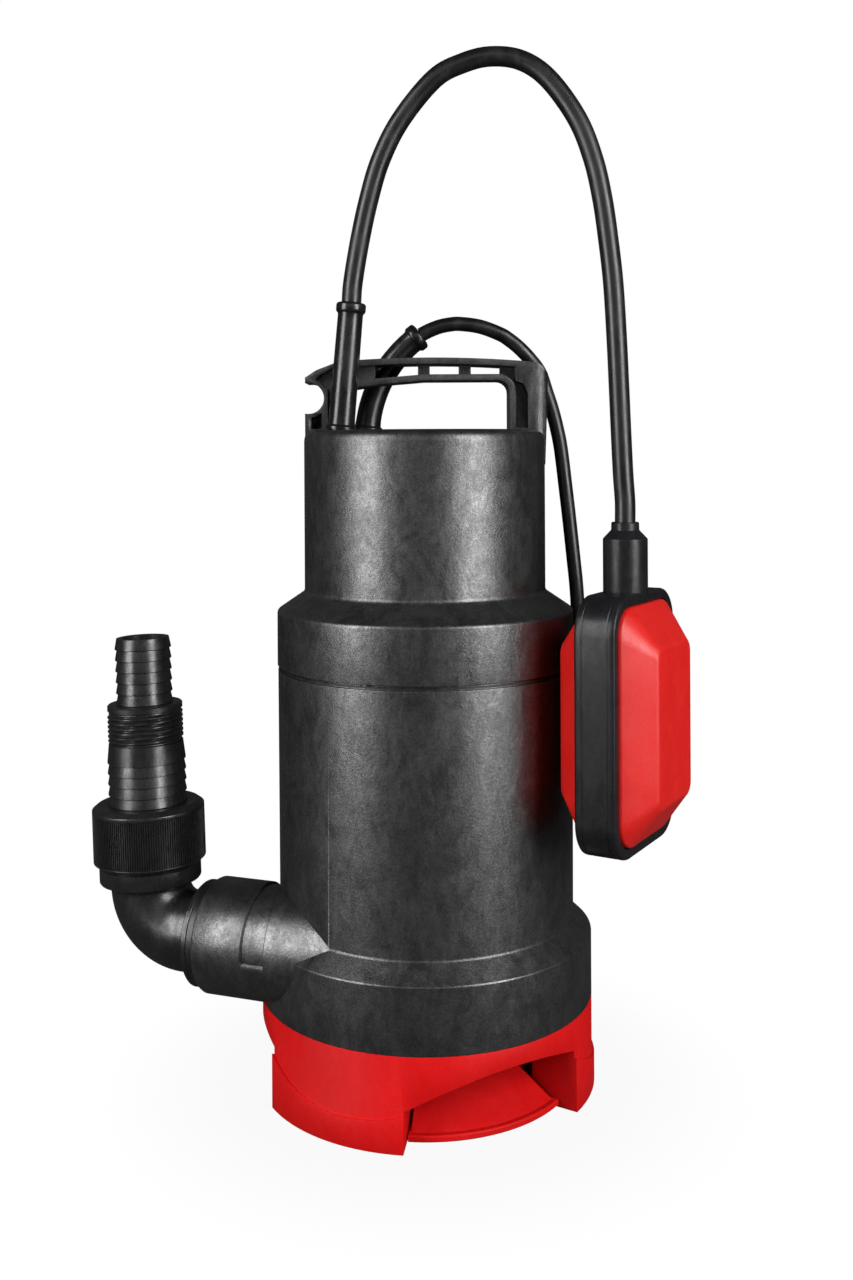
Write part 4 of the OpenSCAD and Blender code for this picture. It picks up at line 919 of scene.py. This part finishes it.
def make_elbow(mats):
    """The elbow as one tube with a flange, a bend and a collar under the nut."""
    bend_end = BEND_START + math.radians(BEND_ANGLE) * BEND_R
    collar_end = bend_end + NUT_Z - 0.3
    tube_end = bend_end + SPIGOT_TOP
    outside = [(-16, 17.9), (-15.2, 18.7), (SEAL_RING_W, 18.7), (SEAL_RING_W, 24.4),
               (SEAL_RING_W + 0.4, 24.8), (6.2, 24.8), (6.6, 24.4), (6.8, 20.8), (7.4, 19.7),
               (8.6, ELBOW_R)]
    outside += [(9 + (bend_end - 10) * k / 40, ELBOW_R) for k in range(1, 41)]
    outside += [(bend_end, ELBOW_R + 0.3), (bend_end + 0.6, ELBOW_R + 2),
                (bend_end + 2.2, 24.2), (bend_end + 2.8, 24.6), (collar_end - 0.4, 24.6),
                (collar_end, 24.2), (collar_end, 21.4), (tube_end, 21.4)]
    inside = [(tube_end - (tube_end + 16) * k / 50, ELBOW_BORE_R) for k in range(51)]
    rings = []
    for s, r in outside + inside:
        place = along_elbow(s)
        rings.append([place @ Vector(p) for p in circle_ring(r, 0, 96)])
    elbow = loft("outlet_elbow_tube", rings, mats["fitting"])
    ride_as(elbow, "elbow", "fitting_black", "outlet_elbow")
    w = SEAL_RING_W
    ring = rounded([(19.6, 0.02), (25, 0.02), (25, w), (19.6, w)], [0.2, 0.5, 0.5, 0.2], 5)
    ring = lathe("outlet_seal_ring", ring, mats["seal"], at_mouth() @ ry(90), 96)
    ride_as(ring, "elbow", "seal_black", "outlet_ring")


def make_nut(mats):
    """The union nut, with a rim at each end and fine grip ribs between them."""
    rib_floor = NUT_R - 0.75
    high = NUT_TOP - 3.4
    low = NUT_Z + 2.6
    outline = [
        (21.9, NUT_Z), (NUT_R - 2.4, NUT_Z), (NUT_R, low - 0.5), (NUT_R, low),
        (rib_floor, low + 0.3), (rib_floor, high - 0.3), (NUT_R, high), (NUT_R, NUT_TOP - 2.0),
        (NUT_R - 2.6, NUT_TOP), (18.7, NUT_TOP), (18.7, SPIGOT_TOP + 6.8),
        (21.9, SPIGOT_TOP + 6.8),
    ]
    radii = [0.3, 0.8, 0.6, 0.2, 0.2, 0.2, 0.2, 0.8, 0.9, 0.6, 0.2, 0.2]
    nut = lathe("union_nut_ring", rounded(outline, radii, 4), mats["fitting"], at_connector(), 160)
    ride_as(nut, "nut", "fitting_black", "union_nut")
    ribs = polar_copies("union_nut_ribs", rib_floor - 0.1, 150, rib_part(0.62, 0.85, high - low),
                        mats["fitting"], at_connector() @ move(0, 0, (high + low) / 2))
    ride_as(ribs, "nut", "fitting_black")


def make_connector(mats):
    """The stepped hose connector: saw-tooth barbs, a real thread, smaller barbs and the bore."""
    around = 144
    large_r = 19.0
    small_r = 13.7
    thread_r = 18.3
    thread_depth = 1.15
    pitch = 2.309
    first_h = 4.9
    large_h = 5.2
    top_barb = NUT_TOP + first_h + 3 * large_h
    shoulder_z = THREAD_Z + 15.6
    small_h = (CONNECTOR_TOP - SMALL_BARB_Z) / 6
    drop = 0.95

    def barb(z, h, r):
        """Up the outside of one barb, from its crest at the bottom."""
        return [(r - 0.15, z), (r, z + 0.25), (r - 0.05, z + 0.7), (r - drop, z + h - 0.05)]

    def plain(points):
        return [circle_ring(r, z, around) for r, z in points]

    def thread_ring(z):
        """A ring whose radius follows the thread's flanks round the turn."""
        ring = []
        runout = min(1, (z - THREAD_Z) / 1.5, (shoulder_z - z) / 1.5)
        for k in range(around):
            phase = ((z - THREAD_Z) / pitch - k / around) % 1.0
            flank = 1 - min(1, abs(phase - 0.5) / 0.5)
            r = thread_r - thread_depth + thread_depth * max(0, runout) * min(1, 1.35 * flank)
            a = math.tau * k / around
            ring.append((r * math.cos(a), r * math.sin(a), z))
        return ring

    flange = SPIGOT_TOP + 2.55
    rings = plain([(10.5, flange), (20.7, flange), (20.9, flange + 0.3), (20.9, flange + 3.7),
                   (20.6, flange + 3.95), (18.1, flange + 3.95), (18.1, NUT_TOP)])
    rings += plain(barb(NUT_TOP, first_h, large_r))
    for i in range(3):
        rings += plain(barb(NUT_TOP + first_h + large_h * i, large_h, large_r))
    rings += plain(barb(top_barb, THREAD_Z - top_barb, large_r))
    rows = 72
    rings += [thread_ring(THREAD_Z + (shoulder_z - THREAD_Z) * k / rows) for k in range(rows + 1)]
    rings += plain([(thread_r - 0.1, shoulder_z + 0.5), (thread_r - 0.1, SMALL_BARB_Z - 0.6),
                    (thread_r - 0.7, SMALL_BARB_Z), (small_r - 0.9, SMALL_BARB_Z + 0.02)])
    for i in range(6):
        rings += plain(barb(SMALL_BARB_Z + small_h * i + (0.1 if i == 0 else 0), small_h, small_r))
    rings += plain([(12.4, CONNECTOR_TOP), (10.9, CONNECTOR_TOP), (10.5, CONNECTOR_TOP - 0.4)])
    rings += plain([(10.5, 63.1), (14.5, 62.8), (14.5, flange)])
    rings = rings[1:]
    connector = loft("hose_connector_tube", rings, mats["fitting"], at_connector(), True, 30)
    ride_as(connector, "elbow", "fitting_black", "hose_connector")


# ---------------------------------------------------------------- float switch

def at_float():
    return move(*FLOAT_AT) @ rz(FLOAT_TURN)


def upright_ring(x, w, h, r, corner_steps=10, side_steps=4):
    """A rounded rectangle standing across X, as a ring of points."""
    ring = []
    centres = [(w / 2 - r, h / 2 - r, 0), (-w / 2 + r, h / 2 - r, 90),
               (-w / 2 + r, -h / 2 + r, 180), (w / 2 - r, -h / 2 + r, 270)]
    for i, (cy, cz, start) in enumerate(centres):
        for k in range(corner_steps + 1):
            a = math.radians(start + 90 * k / corner_steps)
            ring.append((x, cy + r * math.cos(a), cz + r * math.sin(a)))
        ny, nz, turn = centres[(i + 1) % 4]
        a = math.radians(turn)
        end = (ny + r * math.cos(a), nz + r * math.sin(a))
        begin = ring[-1][1:]
        for k in range(1, side_steps):
            t = k / side_steps
            ring.append((x, begin[0] + (end[0] - begin[0]) * t, begin[1] + (end[1] - begin[1]) * t))
    return ring


def make_float_band(mats):
    """The black band, a rounded frame with a rim on each side, and the neck for the cable."""
    half = BAND_T / 2
    corner = 17

    def inset(x, d):
        return upright_ring(x, FLOAT_W - 2 * d, FLOAT_H - 2 * d, max(corner - d, 4))

    rim = FLOAT_BORDER - 0.2
    side = [(half - 2, FLOAT_WALL), (half - 2, rim), (half - 0.5, rim), (half - 0.1, rim - 0.15),
            (half, rim - 0.5), (half, 1.5), (half - 0.15, 0.8), (half - 0.6, 0.25),
            (half - 1.4, 0), (half - 3.2, 0), (half - 3.5, 0.3), (half - 3.9, 0.3),
            (half - 4.2, 0)]
    stations = side + [(2.5, 0), (0, 0)] + [(-x, d) for x, d in reversed(side)]
    rings = [inset(x, d) for x, d in stations]
    band = loft("float_band_frame", rings, mats["band"], at_float(), True)
    top = FLOAT_H / 2
    neck_top = 267 - FLOAT_AT[2]
    neck = rounded([(0, top - 4), (10.2, top - 4), (10.2, neck_top - 4), (6.4, neck_top),
                    (6.3, neck_top + 3.6), (0, neck_top + 3.6)], [0, 0, 1.2, 0.6, 0.7, 0], 4)
    neck = lathe("neck", neck, mats["band"], at_float(), 64)
    carve(band, [neck], "UNION")
    finish_mesh(band, mats["band"])
    ride_as(band, "float", "float_black", "float_band")


def make_float_shells(mats):
    """The two red shells: a sloping border up to a flat face, all edges softly rounded."""
    half = BAND_T / 2
    thick = 2.4
    face_x = half + SHELL_D

    def station(t, x, inner=0.0):
        """t is 0 at the shell's border and 1 at the edge of its flat face."""
        return upright_ring(x, FLOAT_W - 2 * FLOAT_BORDER - 23.6 * t - 2 * inner,
                            FLOAT_H - 2 * FLOAT_BORDER - 36 * t - 2 * inner,
                            max(14 - 9 * t - inner, 1.5))

    for k, side in enumerate((1, -1)):
        outside = [(0, half - 1.9), (0, half + 0.3), (0.02, half + 0.9), (0.06, half + 1.4)]
        outside += [(t, half + 0.6 + (SHELL_D - 0.6) * t) for t in (0.12, 0.4, 0.7, 0.9)]
        outside += [(0.95, face_x - 0.62), (0.985, face_x - 0.3), (1.02, face_x - 0.1),
                    (1.07, face_x - 0.01), (1.13, face_x), (1.5, face_x)]
        rings = [station(t, x) for t, x in outside]
        rings.append([(face_x, y * 0.2, z * 0.2) for _, y, z in rings[-1]])
        inner = [(1.3, face_x - thick), (0.95, face_x - thick), (0.0, half + 0.4),
                 (0.0, half - 1.9)]
        rings_in = [station(t, x, thick) for t, x in inner]
        cap = [(face_x - thick, y * 0.2, z * 0.2) for _, y, z in rings_in[0]]
        name = f"float_shell_{'front' if k == 0 else 'back'}"
        shell = shell_surface(name, rings, [cap] + rings_in, mats["float_red"], side)
        if k == 0:
            ride_as(shell, "float", "float_red", "float_shells")
        else:
            ride_as(shell, "float", "float_red")


def shell_surface(name, outer, inner, material, side):
    """A dished shell from its outer rings, border first, and its inner rings, middle first."""
    n = len(outer[0])
    rings = outer + inner
    verts = [(side * x, side * y, z) for ring in rings for x, y, z in ring]
    faces = []
    for i in range(len(rings)):
        if i == len(outer) - 1:
            continue
        a, b = i * n, (i + 1) % len(rings) * n
        for k in range(n):
            m = (k + 1) % n
            faces.append((a + k, a + m, b + m, b + k))
    start = (len(outer) - 1) * n
    faces.append(tuple(range(start, start + n)))
    faces.append(tuple(reversed(range(start + n, start + 2 * n))))
    return new_object(name, verts, faces, material, at_float())


# ---------------------------------------------------------------- the CAD nodes that stay

CAD_LOOKS = {
    "base": "floor_plate",
    "housing": "suction_cover oil_chamber_cover",
    "seal": "cover_seal housing_gasket lip_seal connector_seal",
    "steel": "plate_screws tie_screws seal_spring seal_collar lower_bearing_outer "
             "lower_bearing_inner upper_bearing_outer upper_bearing_inner shaft_ring motor_can "
             "preload_washer motor_bolts motor_shaft impeller_fixings capacitor_clamp "
             "switch_lever",
    "polished": "lower_bearing_balls upper_bearing_balls switch_ball",
    "laminations": "stator_core rotor_core",
    "castings": "lower_bracket upper_bracket rotor_end_rings",
    "copper": "stator_winding",
    "white": "seal_seat capacitor terminal_block switch_case",
    "carbon": "seal_face",
    "band": "impeller thermal_switch inner_wires",
    "button": "switch_button",
}


def dress_cad_nodes(mats):
    for look, names in CAD_LOOKS.items():
        for name in names.split():
            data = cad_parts[name].data
            data.materials.clear()
            data.materials.append(mats[look])


# ---------------------------------------------------------------- the whole pump

blank = bpy.data.materials.new("blank")

make_studio()
looks = build_materials()
make_float_cable(looks)
make_mains_cable(looks)
make_housing(looks)
make_cap(looks)
make_sleeves(looks)
make_elbow(looks)
make_nut(looks)
make_connector(looks)
make_float_band(looks)
make_float_shells(looks)
softened("intake_base", "intake_base_casting", "root", "base_red", looks["base"], width=0.45)
softened("carry_handle", "carry_handle_frame", "root", "housing_charcoal", looks["housing"],
         width=1.3, steps=3, low_z=CAP_TOP + 1.5)
dress_cad_nodes(looks)
bpy.data.materials.remove(blank)
